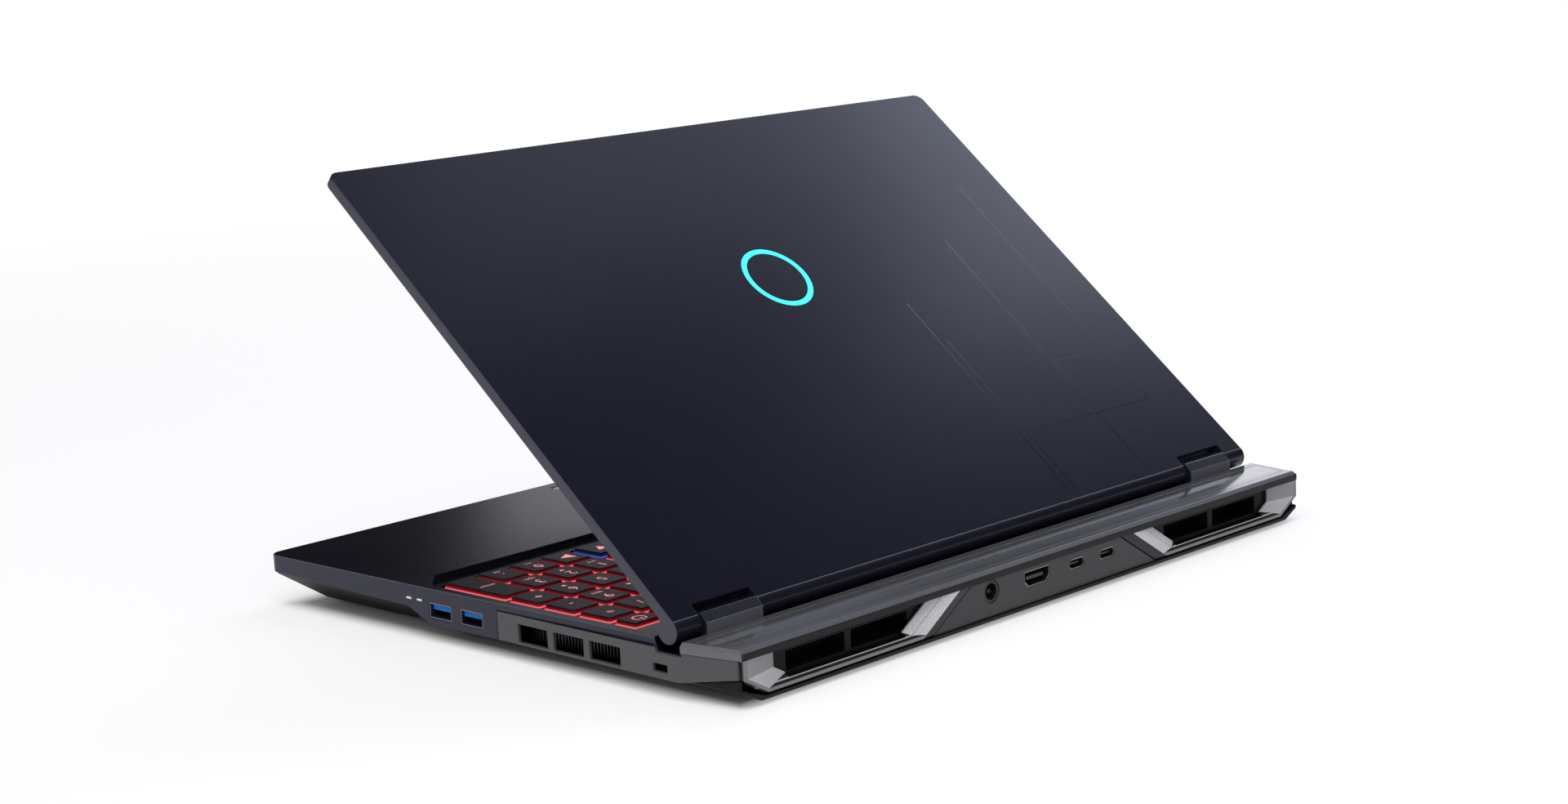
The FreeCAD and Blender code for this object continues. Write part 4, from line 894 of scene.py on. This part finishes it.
class LAPTOP_OT_inside(bpy.types.Operator):
    """Finish the boards, the cooling and the modules inside the base"""

    bl_idname = "laptop.inside"
    bl_label = "Inside"

    def execute(self, context):
        board = circuit_board()
        for node in ("motherboard", "memory_modules", "storage_drives", "wireless_card"):
            finish_node(node, board)
        finish_node("processors", plain_metal("package_metal", (0.35, 0.36, 0.38), 0.35, 600.0))
        finish_node("heat_pipes", plain_metal("copper", (0.62, 0.27, 0.15), 0.32, 500.0))
        finish_node("fin_stacks", plain_metal("fin_metal", (0.16, 0.16, 0.17), 0.5, 1200.0))
        dark = grained_plastic("fan_plastic", (0.014, 0.014, 0.015), 0.5, 1500.0, 0.02 * MM)
        for node in ("fan_housings", "fan_rotor_left", "fan_rotor_right", "speakers"):
            finish_node(node, dark)
        wrap = grained_plastic("battery_wrap", (0.02, 0.02, 0.022), 0.55, 300.0, 0.05 * MM)
        finish_node("battery_pack", wrap)
        return {"FINISHED"}


# Stage
def aim(thing, target):
    direction = Vector(target) - thing.location
    thing.rotation_euler = direction.to_track_quat("-Z", "Y").to_euler()


def soft_light(name, place, target, width, height, power, colour=white):
    bpy.ops.object.light_add(type="AREA", location=place)
    lamp = bpy.context.object
    lamp.name = name
    lamp.data.shape = "RECTANGLE"
    lamp.data.size = width
    lamp.data.size_y = height
    lamp.data.energy = power
    lamp.data.color = colour
    aim(lamp, target)


def ray_kinds(finish):
    """1 for camera rays, and 1 for glossy and transmission rays."""
    paths = finish.node("ShaderNodeLightPath", {}, {}).socket.node
    camera, glossy, through = [Value(finish, paths.outputs[name]) for name in
                               ("Is Camera Ray", "Is Glossy Ray", "Is Transmission Ray")]
    return camera, glossy.larger(through)


def pale_floor():
    """A pale floor that shows its full shadow under the part and is clear from below."""
    finish = new_finish("pale_floor")
    x, y = finish.axes()[:2]
    reach = finish.node("ShaderNodeVectorMath", {"operation": "LENGTH"}, [finish.place()], "Value")
    low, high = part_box("bottom_cover")
    beside = (abs(x) - high.x).larger(abs(y - (low.y + high.y) / 2) - (high.y - low.y) / 2)
    bare = finish.ramp((beside + shadow_inset) / shadow_fade, [(0.0, black), (1.0, white)])
    fade = finish.ramp(reach / floor_reach, [(0.35, black), (0.95, white)])
    speck = finish.noise(300.0)
    finish.set(base_color=finish.mix(speck, (0.92, 0.92, 0.92), (0.95, 0.95, 0.95)), roughness=0.9)
    finish.set(specular_ior_level=0.0)
    glow = finish.node("ShaderNodeEmission", {}, {"Color": white, "Strength": 1.0})
    tree = finish.tree
    plain = Value(finish, tree.nodes["Principled BSDF"].outputs[0])
    level = finish.node("ShaderNodeSeparateColor", {}, [fade])
    uncovered = finish.node("ShaderNodeSeparateColor", {}, [bare])
    camera, mirrored = ray_kinds(finish)
    share = floor_white + (1.0 - floor_white) * level
    part = camera.larger(mirrored) * share * uncovered
    mixed = finish.node("ShaderNodeMixShader", {}, [part, plain, glow])
    below = finish.node("ShaderNodeNewGeometry", {}, {}, "Backfacing")
    clear = finish.node("ShaderNodeBsdfTransparent", {}, {})
    sided = finish.node("ShaderNodeMixShader", {}, [below, mixed, clear])
    finish.feed(tree.nodes["Material Output"].inputs["Surface"], sided)
    return finish


def pale_world():
    """White to the camera, a dark ceiling over a white horizon in reflections, and soft grey light."""
    world = bpy.data.worlds.new("studio")
    bpy.context.scene.world = world
    finish = Finish(world)
    background = finish.tree.nodes["Background"]
    way = finish.node("ShaderNodeTexCoord", {}, {}, "Generated")
    height = finish.node("ShaderNodeSeparateXYZ", {}, [way], "Z")
    upper = finish.ramp(height, [(0.01, white), (0.05, (0.12, 0.12, 0.13)),
                                 (0.20, (0.02, 0.02, 0.025))])
    camera, mirrored = ray_kinds(finish)
    around = finish.mix(mirrored, (0.50, 0.50, 0.51), upper)
    finish.feed(background.inputs["Color"], finish.mix(camera, around, white))
    background.inputs["Strength"].default_value = 1.0


class LAPTOP_OT_stage(bpy.types.Operator):
    """Add the floor, the soft lights and the camera"""

    bl_idname = "laptop.stage"
    bl_label = "Stage"

    def execute(self, context):
        bpy.ops.object.select_all(action="DESELECT")
        bpy.ops.mesh.primitive_plane_add(size=12.0)
        floor = context.object
        floor.name = "floor"
        paint(floor, pale_floor())
        pale_world()
        middle = (0.0, 0.0, 0.08)
        soft_light("key_softbox", (-1.726, -0.142, 1.0), middle, 0.52, 0.9, 9.3, cool_white)
        soft_light("high_softbox", (-1.238, -0.365, 1.528), middle, 0.7, 0.7, 4.0, cool_white)
        soft_light("low_softbox", (-1.613, -1.16, 0.32), middle, 1.3, 0.38, 3.3, (0.92, 0.92, 1.0))
        soft_light("top_softbox", (0.75, 0.65, 1.75), middle, 1.4, 1.4, 22.0)
        soft_light("rear_softbox", (0.5, 1.9, 0.75), middle, 1.4, 0.7, 3.0)
        bpy.ops.object.camera_add()
        camera = context.object
        camera.data.lens = 64.46
        camera.data.sensor_width = 36.0
        camera.data.clip_end = 50.0
        right = Vector((-0.68840, 0.72378, -0.04745))
        upward = Vector((-0.16462, -0.09219, 0.98204))
        back = Vector((0.70641, 0.68385, 0.18260))
        turn = Matrix((right, upward, back)).transposed()
        camera.matrix_world = Matrix.Translation((0.85052, 0.8183, 0.28916)) @ turn.to_4x4()
        context.scene.camera = camera
        context.scene.view_settings.view_transform = "Standard"
        return {"FINISHED"}


class LAPTOP_PT_pieces(bpy.types.Panel):
    """Lists the pieces and their settings"""

    bl_idname = "LAPTOP_PT_pieces"
    bl_label = "Laptop"
    bl_space_type = "VIEW_3D"
    bl_region_type = "UI"
    bl_category = "Laptop"

    def draw(self, context):
        for step in steps:
            self.layout.operator(step.bl_idname)
        for group in (context.scene.laptop_colours, context.scene.laptop_sizes):
            for name in group.__annotations__:
                self.layout.prop(group, name)


steps = (LAPTOP_OT_lid, LAPTOP_OT_ring, LAPTOP_OT_screen, LAPTOP_OT_hinges, LAPTOP_OT_deck,
         LAPTOP_OT_keys, LAPTOP_OT_legends, LAPTOP_OT_sides, LAPTOP_OT_tail, LAPTOP_OT_rear,
         LAPTOP_OT_ports, LAPTOP_OT_underside, LAPTOP_OT_inside, LAPTOP_OT_stage)
classes = (LaptopColours, LaptopSizes, *steps, LAPTOP_PT_pieces)


def register():
    for item in classes:
        bpy.utils.register_class(item)
    bpy.types.Scene.laptop_colours = bpy.props.PointerProperty(type=LaptopColours)
    bpy.types.Scene.laptop_sizes = bpy.props.PointerProperty(type=LaptopSizes)


def unregister():
    del bpy.types.Scene.laptop_sizes
    del bpy.types.Scene.laptop_colours
    for item in reversed(classes):
        bpy.utils.unregister_class(item)


def main():
    register()
    for step in steps:
        group, name = step.bl_idname.split(".")
        getattr(getattr(bpy.ops, group), name)()


if __name__ == "__main__":
    main()
